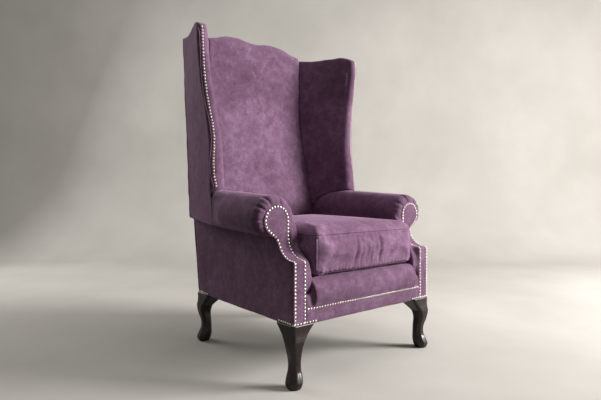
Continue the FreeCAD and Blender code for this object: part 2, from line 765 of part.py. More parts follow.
seat_straps = []
strap_near = "dims.cover"
strap_far = f"({lower_post('dims.rail_height')})"
for middle in strap_places(5, f"({POST_INNER})"):
    near_side = f"{middle} - dims.webbing_width / 2"
    far_side = f"{middle} + dims.webbing_width / 2"
    path = box_path(near_side, strap_near, far_side, strap_far)
    seat_straps.append(
        prism("seat_strap", "plan", path, "dims.rail_height", "dims.rail_height + dims.webbing_thickness")
    )
cross_low = "(dims.rail_height + dims.webbing_thickness)"
seat_middle = f"(({STUMP_REAR} + {rail_end}) / 2)"
for middle in strap_places(5, f"(({rail_end} - {STUMP_REAR}) / 2)"):
    far = f"({seat_middle} + {middle} + dims.webbing_width / 2)"
    near = f"({seat_middle} + {middle} - dims.webbing_width / 2)"
    end_x = flank(far, "(dims.cover + dims.board / 2)")
    path = box_path(f"-1 * {end_x}", near, end_x, far)
    seat_straps.append(prism("seat_strap", "plan", path, cross_low, f"{cross_low} + dims.webbing_thickness"))
keep(group("seat_webbing", seat_straps))

back_straps = []


def back_strap(low, high, half, layer):
    """A strap on the front of the back frame, in the first or the second layer."""
    inset = f"(dims.post_depth + {layer} * dims.webbing_thickness)"
    path = leaning_board(upper_post, low, high, "dims.webbing_thickness", inset)
    back_straps.append(prism("back_strap", "side", path, *half))


back_low = f"({WAIST} + 8)"
back_high = f"({WRAP} - 2)"
for index in range(4):
    middle = f"(-1 * {POST_INNER} + 2 * {POST_INNER} * {(index + 0.5) / 4})"
    sides = (f"{middle} - dims.webbing_width / 2", f"{middle} + dims.webbing_width / 2")
    back_strap(back_low, back_high, sides, 0)
for index in range(5):
    low = f"({WAIST} + 70 + {index} * ({CREST_RAIL_LOW} - {WAIST} - 140) / 4)"
    reach = f"({POST_INNER} + dims.post_width / 2)"
    back_strap(low, f"({low} + dims.webbing_width)", (f"-1 * {reach}", reach), 1)
back_webbing = group("back_webbing", back_straps)
keep(back_webbing)

# Soft pads. Each is a simple closed form of its outside, less the frame inside it
PAD_BACK = "(dims.post_depth + 2 * dims.webbing_thickness + dims.seat_clearance)"


def pad_back(height, line=upper_post):
    """Y of the back of a pad that lies on the webbing."""
    return f"({line(height)} - {PAD_BACK})"


def back_face(name):
    """Y of the face of the back pad where it meets a wing."""
    return f"({upper_post(wing_height(name))} - dims.post_depth - dims.{name}_stuffing)"


SEAT_BACK = f"({lower_post('dims.pad_foot')} - dims.post_depth - dims.arm_stuffing * 0.68)"


def back_section(half, face, crown, back):
    """The back pad seen from above, with its crowned face."""
    return [
        (f"-1 * {half}", back),
        (f"-1 * {half}", face),
        (half, face, "0", f"{face} - {crown}"),
        (half, back),
    ]


# Every section of the pad reaches past the frame behind it, and the side outline then trims it
FAR = "(dims.body_depth + dims.back_lean)"
back_sections = [
    ("0", back_section(ARM_FACE, SEAT_BACK, "5", FAR)),
    (f"{SEAM_LOW}", back_section(ARM_FACE, f"({SEAT_BACK} + 3)", "6", FAR)),
]
back_sections += [
    (wing_height(name), back_section(ARM_FACE, back_face(name), f"dims.{name}_crown", FAR))
    for name, *_ in WING_STATIONS
]
back_mass = loft("back_mass", "plan", back_sections)
back_front_outline = crest_outline(BACK_HALF, "dims.pad_foot", "0")
step_height = f"({ARM_LINE} + dims.arm_roll_radius)"
back_front_outline = (
    [(ARM_FACE, "dims.pad_foot"), (ARM_FACE, step_height), (BACK_HALF, f"{step_height} + dims.back_step")]
    + back_front_outline[1:-1]
    + [(f"-1 * {BACK_HALF}", f"{step_height} + dims.back_step"), (f"-1 * {ARM_FACE}", step_height),
       (f"-1 * {ARM_FACE}", "dims.pad_foot")]
)
back_outline = prism("back_pad_front", "front", back_front_outline, "0", f"{FAR} + 20")
CREST_FACE = back_face("crown")
back_side_path = [
    (f"{SEAT_BACK} - 40", "dims.pad_foot"),
    (pad_back("dims.pad_foot", lower_post), "dims.pad_foot"),
    (pad_back(WAIST), WAIST),
    (pad_back(WRAP), WRAP),
    (upper_post(WRAP), WRAP),
    (upper_post(f"{CREST} + 1"), f"{CREST} + 1"),
    (f"{CREST_FACE} + 62", f"{CREST} + 1"),
    (f"{CREST_FACE} - 10", f"{CREST} - 92", f"{CREST_FACE} + 17", f"{CREST} - 24"),
    (f"{SEAT_BACK} - 40", f"{CREST} - 92"),
]
back_side = prism("back_pad_side", "side", back_side_path, f"-1 * {HALF}", HALF)
back_shaped = common("back_pad_shaped", common("back_pad_crested", back_mass, back_outline), back_side)
inside_back = cut("inside_back", back_shaped, [crest_rail, back_post_left, back_post_right])
keep(inside_back)


# Outside panels of the wings
WING_TOP = f"({CREST} - dims.wing_top_drop)"
WING_TOP_END = f"({CREST} - dims.crest_corner_drop)"
wing_top_path = [
    (f"{WING_FRONT} + 218", f"{WING_TOP} - dims.wing_dip"),
    (upper_post(WING_TOP_END), WING_TOP_END, f"{WING_FRONT} + 318", f"{WING_TOP} + 4"),
]


def panel_section(name, height):
    """The outside panel of a wing seen from above."""
    front = f"({WING_FRONT} - 20)"
    back = upper_back(height)
    front_x = wing_side(name, front)
    return [
        (f"{front_x} - dims.cover", front),
        (front_x, front),
        (UPPER_HALF, back),
        (f"{UPPER_HALF} - dims.cover", back),
    ]


panel_sections = [(f"{WAIST} - 20", panel_section("arm", f"({WAIST} - 20)"))]
panel_sections += [(wing_height(name), panel_section(name, wing_height(name))) for name, *_ in WING_STATIONS]
panel_mass = loft("panel_mass", "plan", panel_sections, True)
wing_share = f"(({WING_FRONT} - dims.arm_setback) / (dims.body_depth - dims.arm_setback))"
panel_foot = f"({SWEEP_TOP} + ({WAIST} - {SWEEP_TOP}) * {wing_share})"
outer_wing_path = [
    (WING_FRONT, panel_foot),
    (f"{WING_FRONT} + 4", f"{ARM_LINE} + 30"),
    (f"{WING_FRONT} + 34", f"{ARM_LINE} + dims.arm_roll_radius + 8",
     f"{WING_FRONT} + 15", f"{ARM_LINE} + 62"),
    (f"{WING_FRONT} + 67", wing_height("shoulder"), f"{WING_FRONT} + 49", wing_height("waist")),
    (f"{WING_FRONT} + 64", f"{WING_TOP} - 82"),
    (f"{WING_FRONT} + 120", WING_TOP, f"{WING_FRONT} + 78", f"{WING_TOP} - 20"),
    *wing_top_path,
    (upper_post(WAIST), WAIST),
]
outer_wing_outline = prism("outer_wing_outline", "side", outer_wing_path, "0", f"{HALF} + 150")
outside_wing_left = common("outside_wing_left", panel_mass, outer_wing_outline)
both_sides("outside_wing", outside_wing_left)


# Inside arms: a flat inner pad with a front lobe, under a rolled top
ROLL_END = f"({lower_post(WAIST)} - dims.post_depth - 8)"
ROLL_SLOPE = "atan(dims.arm_rise / (dims.body_depth - dims.arm_setback))"


def roll_section(rim):
    """The roll seen from the front, about its own middle, smaller by a rim."""
    radius = f"(dims.arm_roll_radius - {rim})"
    tuck = f"(dims.roll_tuck - {rim} * 0.4)"
    return [
        (f"-1 * {radius}", "0"),
        ("0", radius, *around("0", "0", radius, 135)),
        (radius, "0", *around("0", "0", radius, 45)),
        (f"{radius} * 0.25", f"-1 * {tuck}", f"{radius} * 0.8", f"-0.72 * {tuck}"),
        (f"{FACING_INNER} - {ROLL_X}", f"-1 * {tuck}"),
    ]


RIMS = (("0", "dims.roll_border"), ("4", "dims.roll_border * 0.45"), ("20", "0"))
roll_mass = loft("roll_mass", "front", [(depth, roll_section(rim)) for depth, rim in RIMS], True)
prism(roll_mass, "front", roll_section("0"), RIMS[-1][0], f"{ROLL_END} - dims.arm_setback")
roll_mass.Placement = Placement(Vector(0, 0, 0), Rotation(Vector(1, 0, 0), number(ROLL_SLOPE)))
roll_mass.setExpression("Placement.Base.x", ROLL_X)
roll_mass.setExpression("Placement.Base.y", f"dims.arm_setback + 3 - {MIDDLE}")
roll_mass.setExpression("Placement.Base.z", f"dims.leg_height + {ARM_LINE}")

lobe_bottom = "dims.lobe_foot"
slab_path = [
    ("dims.arm_setback + 15", ARM_LINE),
    ("dims.arm_setback", f"{ARM_LINE} - 20"),
    ("dims.arm_setback - 8", f"{SWEEP_TOP} - 2"),
    ("dims.arm_setback - 33", f"{SWEEP_TOP} - 57", "dims.arm_setback - 12", f"{SWEEP_TOP} - 36"),
    ("dims.lobe_front + 17", f"{SWEEP_TOP} - 82"),
    ("dims.lobe_front + 17", f"{lobe_bottom} + 4", "dims.lobe_front", f"{SWEEP_TOP} - 136"),
    ("dims.lip_depth", lobe_bottom),
    ("dims.lip_depth", "dims.pad_foot"),
    (pad_back("dims.pad_foot", lower_post), "dims.pad_foot"),
    (pad_back(WAIST), WAIST),
    (pad_back(arm_line(ROLL_END)), arm_line(ROLL_END)),
]
slab_side = prism("slab_side", "side", slab_path, ARM_FACE, HALF)
near = "(-1 * dims.front_bulge)"
slab_plan_path = [
    (ARM_FACE, near), (flank(near, "dims.cover + dims.board"), near),
    (flank(FAR, "dims.cover + dims.board"), FAR), (ARM_FACE, FAR),
]
slab_plan = prism("slab_plan", "plan", slab_plan_path, "0", CREST)
arm_mass = fuse("arm_mass", roll_mass, common("slab", slab_side, slab_plan))

facing_run = f"({HALF} + dims.facing_neck - {ROLL_X})"
facing_drop = f"sqrt((dims.facing_head + dims.facing_neck) ^ 2 - {facing_run} ^ 2)"
neck_share = "(dims.facing_head / (dims.facing_head + dims.facing_neck))"
facing_path = [
    (FACING_INNER, "0"),
    (HALF, "0"),
    (HALF, f"{ARM_LINE} - {facing_drop}"),
    (f"{ROLL_X} + {neck_share} * {facing_run}", f"{ARM_LINE} - {neck_share} * {facing_drop}",
     *around(f"({HALF} + dims.facing_neck)", f"({ARM_LINE} - {facing_drop})", "dims.facing_neck", 142)),
    (f"{ROLL_X} + dims.facing_head", ARM_LINE, *around(ROLL_X, ARM_LINE, "dims.facing_head", -35)),
    (ROLL_X, f"{ARM_LINE} + dims.facing_head", *around(ROLL_X, ARM_LINE, "dims.facing_head", 45)),
    (FACING_INNER, ARM_LINE, *around(ROLL_X, ARM_LINE, "dims.facing_head", 135)),
]
facing_recess = prism(
    "facing_recess", "front", facing_path, near, "dims.arm_setback + dims.facing_thickness"
)
facing_top = f"({ARM_LINE} + dims.facing_head + 5)"
facing_band = [*sweep("0", facing_top), *backwards(sweep("dims.facing_thickness", facing_top))]
facing_blank = prism("facing_band", "side", facing_band, FACING_INNER, f"{ROLL_X} + dims.facing_head")
arm_facing_left = common("arm_facing_left", facing_blank, facing_recess)
both_sides("arm_facing", arm_facing_left)

outside_arm_path = [
    *sweep("dims.facing_thickness", SWEEP_TOP)[:-1],
    (lower_post(WAIST), WAIST),
    (lower_post("0"), "0"),
]
outside_arm_sheet = slab_beside_flank("outside_arm_sheet", outside_arm_path, "dims.cover", "0")
outside_arm_left = cut("outside_arm_left", outside_arm_sheet, [back_post_left])
both_sides("outside_arm", outside_arm_left)

# The roll passes under the wing, inside the wing's outside panel
trim_path = [
    (BACK_HALF, near),
    (f"{ROLL_X} + dims.arm_roll_radius + 5", near),
    (f"{ROLL_X} + dims.arm_roll_radius + 5", WING_FRONT),
    (f"{wing_side('waist', WING_FRONT)} - dims.cover - 2", WING_FRONT),
    (f"{wing_side('waist', ROLL_END)} - dims.cover - 2", ROLL_END),
    (f"{flank(FAR)}", FAR),
    (BACK_HALF, FAR),
]
arm_trim = prism("arm_trim", "plan", trim_path, "0", CREST)
inside_arm_left = cut(
    "inside_arm_left", common("arm_trimmed", arm_mass, arm_trim),
    [
        facing_recess, front_rail, arm_stump_left, arm_scroll_left, arm_rail_left, wing_post_left,
        outside_arm_left, outside_wing_left, back_post_left,
    ],
)
both_sides("inside_arm", inside_arm_left)


# Inside wings: a flat inner face and a full front roll
def wing_section(name):
    """The stuffed wing seen from above at a station."""
    back = upper_post(wing_height(name))
    nail = wing_nail(name)
    outer = f"({wing_side(name, nail)} - dims.cover)"
    inner = f"({outer} + dims.cover - dims.{name}_roll)"
    return [
        (BACK_HALF, back),
        (BACK_HALF, back_face(name)),
        (inner, f"{nail} + 8"),
        (outer, nail, f"({inner} + {outer}) / 2", f"{nail} - dims.wing_roll_proud"),
        (f"{outer} + dims.cover / 2", f"{nail} + dims.cover"),
        (f"{wing_side(name, back)} - dims.cover / 2", back),
    ]


wing_sections = [(wing_height(name), wing_section(name)) for name, *_ in WING_STATIONS]
wing_mass = loft("wing_mass", "plan", wing_sections, True)

inner_wing_path = [
    (f"{WING_FRONT} + 10", f"{ARM_LINE} + 10"),
    (f"{WING_FRONT} + 22", f"{WING_TOP} - 105"),
    (f"{WING_FRONT} + 110", WING_TOP, f"{WING_FRONT} + 48", f"{WING_TOP} - 32"),
    *wing_top_path,
    (upper_post(f"{ARM_LINE} + 10"), f"{ARM_LINE} + 10"),
]
inner_wing_outline = prism("inner_wing_outline", "side", inner_wing_path, "0", f"{HALF} + 150")
inside_wing_left = cut(
    "inside_wing_left", common("wing_trimmed", wing_mass, inner_wing_outline),
    [
        arm_mass, inside_back, outside_wing_left, wing_post_left, wing_rail_left, back_post_left,
        crest_rail, back_webbing,
    ],
)
both_sides("inside_wing", inside_wing_left)


# Back panels, upper and lower
upper_panel_path = [
    (lower_post(WAIST), WAIST),
    (upper_back(WAIST), WAIST),
    (FAR, CREST),
    (upper_post(CREST), CREST),
]
upper_panel = prism("outside_back_panel", "side", upper_panel_path, f"-1 * {UPPER_HALF}", UPPER_HALF)
upper_panel_front = prism(
    "outside_back_outline", "front", crest_outline(UPPER_HALF, WAIST, "0"), "dims.body_depth", f"{FAR} + 20"
)
keep(common("outside_back", upper_panel, upper_panel_front))

lower_panel_path = [
    (lower_post("0"), "0"), (lower_back("0"), "0"), (lower_back(WAIST), WAIST), (lower_post(WAIST), WAIST)
]
keep(prism("lower_back_panel", "side", lower_panel_path, f"-1 * {REAR_HALF}", REAR_HALF))

# Front border: a flat nailed band under a full lip
border_low = [("0", "0"), ("dims.cover", "0"), ("dims.cover", lobe_bottom), ("0", lobe_bottom)]
lip_top = "(dims.deck_height + dims.lip_rise)"
LIP_UNDER = "(dims.rail_height + 2 * dims.webbing_thickness + dims.seat_clearance)"
border_high = [
    ("dims.cover", "dims.nail_line"),
    ("dims.cover", LIP_UNDER),
    ("dims.lip_depth", LIP_UNDER),
    ("dims.lip_depth", "dims.deck_height"),
    ("20", lip_top),
    ("0", "dims.nail_line", "-1 * dims.front_bulge + 1", "(dims.nail_line + dims.deck_height) / 2 + 6"),
]
front_border = prism("front_border", "side", border_low, f"-1 * {FACING_INNER}", FACING_INNER)
lip_half = f"({ARM_FACE} - dims.seat_clearance)"
prism(front_border, "side", border_high, f"-1 * {lip_half}", lip_half)
keep(front_border)

# Seat deck on the webbing
deck_block = prism(
    "seat_deck_block", "plan", box_path(f"-1 * {lip_half}", "dims.lip_depth", lip_half, SEAT_BACK),
    LIP_UNDER, "dims.deck_height",
)
keep(cut("seat_deck", deck_block, [inside_back]))

# Black cloth under the frame, cut back around the legs
dust_half = f"({flank('dims.leg_notch', 'dims.cover')})"
dust_rear = f"({flank('dims.body_depth - dims.leg_notch', 'dims.cover')})"
dust_near, dust_far = "dims.cover", "(dims.body_depth - dims.cover)"
notch_far = "(dims.body_depth - dims.leg_notch)"
notch_front_x, notch_rear_x = f"({HALF} - dims.leg_notch)", f"({REAR_HALF} - dims.leg_notch)"
dust_left = [
    (notch_front_x, dust_near), (notch_front_x, "dims.leg_notch"), (dust_half, "dims.leg_notch"),
    (dust_rear, notch_far), (notch_rear_x, notch_far), (notch_rear_x, dust_far),
]
dust_right = [(f"-1 * {across}", up) for across, up in reversed(dust_left)]
keep(prism("dust_cover", "plan", dust_left + dust_right, "-1 * dims.dust_cover_thickness", "0"))

# Loose seat cushion: crowned, with sides drawn in between its corners
CUSHION_HALF = f"({ARM_FACE} - dims.cushion_gap)"
CUSHION_FRONT = "(-1 * dims.front_bulge + 6)"
CUSHION_BACK = f"({SEAT_BACK} - 5 - dims.cushion_gap)"


def cushion_outline(inset):
    """The cushion seen from above, smaller by an inset."""
    half = f"({CUSHION_HALF} - {inset})"
    low = f"({CUSHION_FRONT} + {inset})"
    high = f"({CUSHION_BACK} - {inset})"
    rounding = f"(dims.cushion_corner - {inset})"
    pull = "dims.side_draw"
    middle = f"(({low} + {high}) / 2)"
    near, far, side = f"({low} + {rounding})", f"({high} - {rounding})", f"({half} - {rounding})"
    return [
        (side, low, "0", f"{low} + {pull}"),
        (half, near, *around(side, near, rounding, -45)),
        (half, far, f"{half} - {pull}", middle),
        (side, high, *around(side, far, rounding, 45)),
        (f"-1 * {side}", high, "0", f"{high} - {pull}"),
        (f"-1 * {half}", far, *around(f"-1 * {side}", far, rounding, 135)),
        (f"-1 * {half}", near, f"-1 * ({half} - {pull})", middle),
        (f"-1 * {side}", low, *around(f"-1 * {side}", near, rounding, 225)),
    ]


cushion_foot = "(dims.deck_height + dims.seat_clearance)"
boxing_middle = f"(({SEAM_LOW} + {SEAM_HIGH}) / 2)"


def cushion_profile(low, high):
    """The cushion seen square on between two edges: full sides, a crowned top and a flat seat."""
    middle = f"(({low} + {high}) / 2)"
    return [
        (f"{high} - dims.belly_width", cushion_foot),
        (f"{high} - dims.boxing_bulge", SEAM_LOW,
         f"{high} - dims.belly_width * 0.4", f"{SEAM_LOW} - dims.cushion_belly * 0.62"),
        (f"{high} - dims.boxing_bulge", SEAM_HIGH, high, boxing_middle),
        (f"{high} - dims.shoulder_width", f"{SEAM_HIGH} + dims.shoulder_rise",
         f"{high} - dims.shoulder_width * 0.4", f"{SEAM_HIGH} + dims.shoulder_rise * 0.68"),
        (f"{low} + dims.shoulder_width", f"{SEAM_HIGH} + dims.shoulder_rise",
         middle, f"{SEAM_HIGH} + dims.cushion_crown"),
        (f"{low} + dims.boxing_bulge", SEAM_HIGH,
         f"{low} + dims.shoulder_width * 0.4", f"{SEAM_HIGH} + dims.shoulder_rise * 0.68"),
        (f"{low} + dims.boxing_bulge", SEAM_LOW, low, boxing_middle),
        (f"{low} + dims.belly_width", cushion_foot,
         f"{low} + dims.belly_width * 0.4", f"{SEAM_LOW} - dims.cushion_belly * 0.62"),
    ]


cushion_plan = prism("cushion_plan", "plan", cushion_outline("0"), "dims.rail_height", CREST)
cushion_across = prism(
    "cushion_across", "front", cushion_profile(f"(-1 * {CUSHION_HALF})", CUSHION_HALF),
    near, "dims.body_depth",
)
cushion_along = prism(
    "cushion_along", "side", cushion_profile(CUSHION_FRONT, CUSHION_BACK), f"-1 * {HALF}", HALF
)
cushion_mass = common("cushion_mass", common("cushion_crowned", cushion_across, cushion_along), cushion_plan)


def piping_ring(label, seam):
    """A cord around the cushion along one seam."""
    low, high = f"({seam} - dims.piping / 2)", f"({seam} + dims.piping / 2)"
    outside = prism(f"{label}_outside", "plan", cushion_outline("0"), low, high)
    inside = prism(f"{label}_inside", "plan", cushion_outline("(dims.piping)"), low, high)
    return cut(label, outside, [inside])


cushion_core = prism(
    "cushion_core", "plan",
    box_path(f"dims.foam_margin - {CUSHION_HALF}", f"{CUSHION_FRONT} + dims.foam_margin",
             f"{CUSHION_HALF} - dims.foam_margin", f"{CUSHION_BACK} - dims.foam_margin"),
    f"{boxing_middle} - dims.foam_height / 2", f"{boxing_middle} + dims.foam_height / 2",
)
zip_back = f"({CUSHION_BACK} - dims.side_draw)"
cushion_zip = prism(
    "cushion_zip", "front",
    box_path("-1 * dims.zip_length / 2", f"{boxing_middle} - dims.zip_width / 2",
             "dims.zip_length / 2", f"{boxing_middle} + dims.zip_width / 2"),
    f"{zip_back} - dims.zip_thickness", zip_back,
)
cushion_piping = group(
    "cushion_piping", [piping_ring("piping_low", SEAM_LOW), piping_ring("piping_high", SEAM_HIGH)]
)
cushion_cover = cut("cushion_cover", cushion_mass, [cushion_core, cushion_zip, cushion_piping])
keep(cushion_cover, cushion_core, cushion_zip, cushion_piping)

# Build, check, then write every sub-part
doc.recompute()
for item in doc.Objects:
    if "Invalid" in item.State or "Error" in item.State:
        raise RuntimeError(f"{item.Label} failed: {item.State}")
for piece in pieces:
    if piece.Shape.isNull() or not piece.Shape.isValid() or not piece.Shape.Solids:
        raise RuntimeError(f"{piece.Label} has no sound solid")

os.makedirs("parts", exist_ok=True)
for piece in pieces:
    piece.Shape.exportStep(f"parts/{piece.Label}.step")
    box = piece.Shape.BoundBox
    extent = f"{box.XLength:.0f} x {box.YLength:.0f} x {box.ZLength:.0f}"
    print(f"{piece.Label}: {len(piece.Shape.Solids)} solid(s), {extent}")
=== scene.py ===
import math

import bmesh
import bpy
import numpy as np
from mathutils import Matrix, Vector, noise
from mathutils.bvhtree import BVHTree


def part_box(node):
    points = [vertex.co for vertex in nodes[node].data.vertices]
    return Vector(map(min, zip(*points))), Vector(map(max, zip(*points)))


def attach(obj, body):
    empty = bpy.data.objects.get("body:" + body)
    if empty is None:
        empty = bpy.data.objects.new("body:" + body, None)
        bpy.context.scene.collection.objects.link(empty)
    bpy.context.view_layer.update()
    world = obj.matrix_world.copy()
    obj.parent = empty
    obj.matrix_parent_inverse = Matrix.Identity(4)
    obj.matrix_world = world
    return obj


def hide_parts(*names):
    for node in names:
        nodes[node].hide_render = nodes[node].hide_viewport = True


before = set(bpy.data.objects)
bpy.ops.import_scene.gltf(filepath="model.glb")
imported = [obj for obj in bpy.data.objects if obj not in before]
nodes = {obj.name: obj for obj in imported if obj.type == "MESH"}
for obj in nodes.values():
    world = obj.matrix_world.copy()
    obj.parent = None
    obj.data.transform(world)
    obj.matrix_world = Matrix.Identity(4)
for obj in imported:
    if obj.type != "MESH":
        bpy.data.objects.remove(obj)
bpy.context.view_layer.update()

# Wingback armchair in plum velvet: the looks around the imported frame.
# Metres, chair facing -Y. The workshop's own drawing is in millimetres, with its depth measured from
# the front of the body and its heights from the underside of the frame; bench() carries it over.

# Body and arms, in the workshop's millimetres
MIDDLE_DEPTH = 394.5
LEG_HEIGHT = 200.0
HALF_FRONT = 346.0
SIDE_TAPER = 41.0
BODY_DEPTH = 672.0
ROLL_X = 345.0
ARM_LINE = 326.0
HEAD_RADIUS = 52.0
ARM_SETBACK = 85.0
SWEEP_RADIUS = 77.0
SHELF_NOSE = 8.0
DECK_HEIGHT = 138.0
SEAM_LOW = 153.0
SEAM_HIGH = 280.0
SWEEP_LOW = 202.0
SWEEP_HIGH = 279.0
WING_PANEL_EDGE = 397.0
TUCK_START = 300.0
TUCK_END = 402.0
FACING_ROW_INNER = 300.0
FACING_ROW_OUTER = 340.0
HEAD_ROW_RADIUS = 45.5
BORDER_ROW_HEIGHT = 47
HEM_ROW_HEIGHT = 4.5

# Trim, in metres
WELT = 0.0023
NAIL_PITCH = 0.0118
NAIL_SIZE = 0.0092
WADDING = 0.005
SEAM_GROOVE = 0.0022

CAMERA_PLACE = (-1.3271, -1.5750, 0.6226)
CAMERA_TURN = -40.507
CAMERA_DROP = 1.046
CAMERA_ROLL = 0.1015
CAMERA_LENS = 29.84
STUDIO_TURN = -40.5

SOFT_NODES = (
    "inside_", "outside_", "arm_facing", "lower_back_panel", "front_border", "seat_deck", "dust_cover",
    "cushion_",
)


def bench(across, depth, up):
    """A point of the workshop's drawing, in the row frame."""
    return Vector((across, depth - MIDDLE_DEPTH, up + LEG_HEIGHT)) / 1000


def flank(depth, inset=0.0):
    """The tapering side of the body at a depth, in the workshop's millimetres."""
    return HALF_FRONT - SIDE_TAPER * depth / BODY_DEPTH - inset


# Mesh tools

def link(name, mesh):
    """A new object for a mesh."""
    piece = bpy.data.objects.new(name, mesh)
    bpy.context.scene.collection.objects.link(piece)
    return piece


def copy_of(name, *sources, blocks=()):
    """One merged mesh from CAD nodes and plain filling blocks of eight corners."""
    grown = bmesh.new()
    for source in sources:
        part = bmesh.new()
        part.from_mesh(nodes[source].data)
        bmesh.ops.remove_doubles(part, verts=part.verts, dist=0.00002)
        if not source.startswith(SOFT_NODES):
            for vert in part.verts:
                vert.co += vert.normal * WADDING
        loose = bpy.data.meshes.new("part")
        part.to_mesh(loose)
        part.free()
        grown.from_mesh(loose)
        bpy.data.meshes.remove(loose)
    for corners in blocks:
        made = [grown.verts.new(corner) for corner in corners]
        for face in ((0, 3, 2, 1), (4, 5, 6, 7), (0, 1, 5, 4), (1, 2, 6, 5), (2, 3, 7, 6), (3, 0, 4, 7)):
            grown.faces.new([made[index] for index in face])
    mesh = bpy.data.meshes.new(name)
    grown.to_mesh(mesh)
    grown.free()
    return link(name, mesh)


def settle(piece):
    """Apply a piece's modifiers to a mesh of its own."""
    bpy.context.view_layer.update()
    shaped = bpy.data.meshes.new_from_object(piece.evaluated_get(bpy.context.evaluated_depsgraph_get()))
    old = piece.data
    piece.modifiers.clear()
    piece.data = shaped
    bpy.data.meshes.remove(old)
    shaped.name = piece.name
    return piece


def skin_over(piece, voxel):
    """One closed skin over everything in a piece."""
    remesh = piece.modifiers.new("skin", "REMESH")
    remesh.mode = "VOXEL"
    remesh.voxel_size = voxel
    return settle(piece)


def places(mesh):
    """Vertex places as an array."""
    flat = np.empty(len(mesh.vertices) * 3)
    mesh.vertices.foreach_get("co", flat)
    return flat.reshape(-1, 3)


def put_back(mesh, spots):
    """Write vertex places."""
    mesh.vertices.foreach_set("co", np.ascontiguousarray(spots, dtype=np.float64).ravel())
    mesh.update()


def outward(mesh):
    """Vertex normals as an array."""
    flat = np.empty(len(mesh.vertices) * 3, np.float32)
    mesh.vertex_normals.foreach_get("vector", flat)
    return flat.reshape(-1, 3).astype(float)


def relax(piece, rounds, pull=0.5, hold=0.0):
    """Soften the edges of a skin. hold gives back some of the volume it loses."""
    mesh = piece.data
    spots = places(mesh)
    ends = np.empty(len(mesh.edges) * 2, np.int64)
    mesh.edges.foreach_get("vertices", ends)
    first, second = ends[0::2], ends[1::2]
    count = len(spots)
    shared = np.maximum(np.bincount(ends, minlength=count), 1)[:, None]
    for _ in range(rounds):
        for share in (pull, -hold):
            if share:
                total = np.empty_like(spots)
                for axis in range(3):
                    total[:, axis] = np.bincount(first, spots[second, axis], count)
                    total[:, axis] += np.bincount(second, spots[first, axis], count)
                spots = spots + share * (total / shared - spots)
    put_back(mesh, spots)
    return piece


def smooth_faces(piece):
    """Shade a piece smooth."""
    piece.data.polygons.foreach_set("use_smooth", [True] * len(piece.data.polygons))
    return piece


def drift(spots, wave, seed):
    """Smooth noise between -1 and 1 at every place."""
    shift = Vector((seed * 3.1, seed * 1.7, seed * 5.3))
    scaled = spots / wave
    return np.array([noise.noise(Vector(spot) + shift) for spot in scaled])


def fade(amount, start, end):
    """0 at start, 1 at end, smooth between."""
    share = np.clip((amount - start) / (end - start), 0, 1)
    return share * share * (3 - 2 * share)


def push(piece, amount):
    """Move a piece's skin along its own normals."""
    put_back(piece.data, places(piece.data) + outward(piece.data) * amount[:, None])
    return piece


def hand_stuffed(piece, seed, broad=0.0016, fine=0.0005):
    """The small unevenness of a pad stuffed by hand."""
    spots = places(piece.data)
    return push(piece, broad * drift(spots, 0.11, seed) + fine * drift(spots, 0.034, seed + 7))


def cord_along(name, points, radius, closed=False, sides=2):
    """A round tube along points."""
    path = bpy.data.curves.new(name, "CURVE")
    path.dimensions = "3D"
    path.bevel_depth = radius
    path.bevel_resolution = sides
    path.use_fill_caps = not closed
    line = path.splines.new("POLY")
    line.points.add(len(points) - 1)
    for knot, point in zip(line.points, points):
        knot.co = (*point, 1)
    line.use_cyclic_u = closed
    draft = link(f"{name}_draft", path)
    bpy.context.view_layer.update()
    mesh = bpy.data.meshes.new_from_object(draft.evaluated_get(bpy.context.evaluated_depsgraph_get()))
    bpy.data.objects.remove(draft)
    mesh.name = name
    return smooth_faces(link(name, mesh))


def joined(name, parts):
    """Several pieces as one mesh."""
    grown = bmesh.new()
    for part in parts:
        grown.from_mesh(part.data)
        bpy.data.objects.remove(part)
    mesh = bpy.data.meshes.new(name)
    grown.to_mesh(mesh)
    grown.free()
    return smooth_faces(link(name, mesh))


def dress(piece, finish, body, slot_name, *replaced):
    """Give a piece its finish, the body it rides on and the nodes it stands for; slot_name is not used."""
    piece.data.materials.clear()
    piece.data.materials.append(finish)
    piece.data.polygons.foreach_set("material_index", [0] * len(piece.data.polygons))
    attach(piece, body)
    if replaced:
        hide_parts(*replaced)
    return piece


# Finishes

def tint(red, green, blue):
    """A colour written in 0-255 screen values."""
    return tuple(
        (value / 255 / 12.92) if value / 255 <= 0.04045 else ((value / 255 + 0.055) / 1.055) ** 2.4
        for value in (red, green, blue)
    ) + (1.0,)


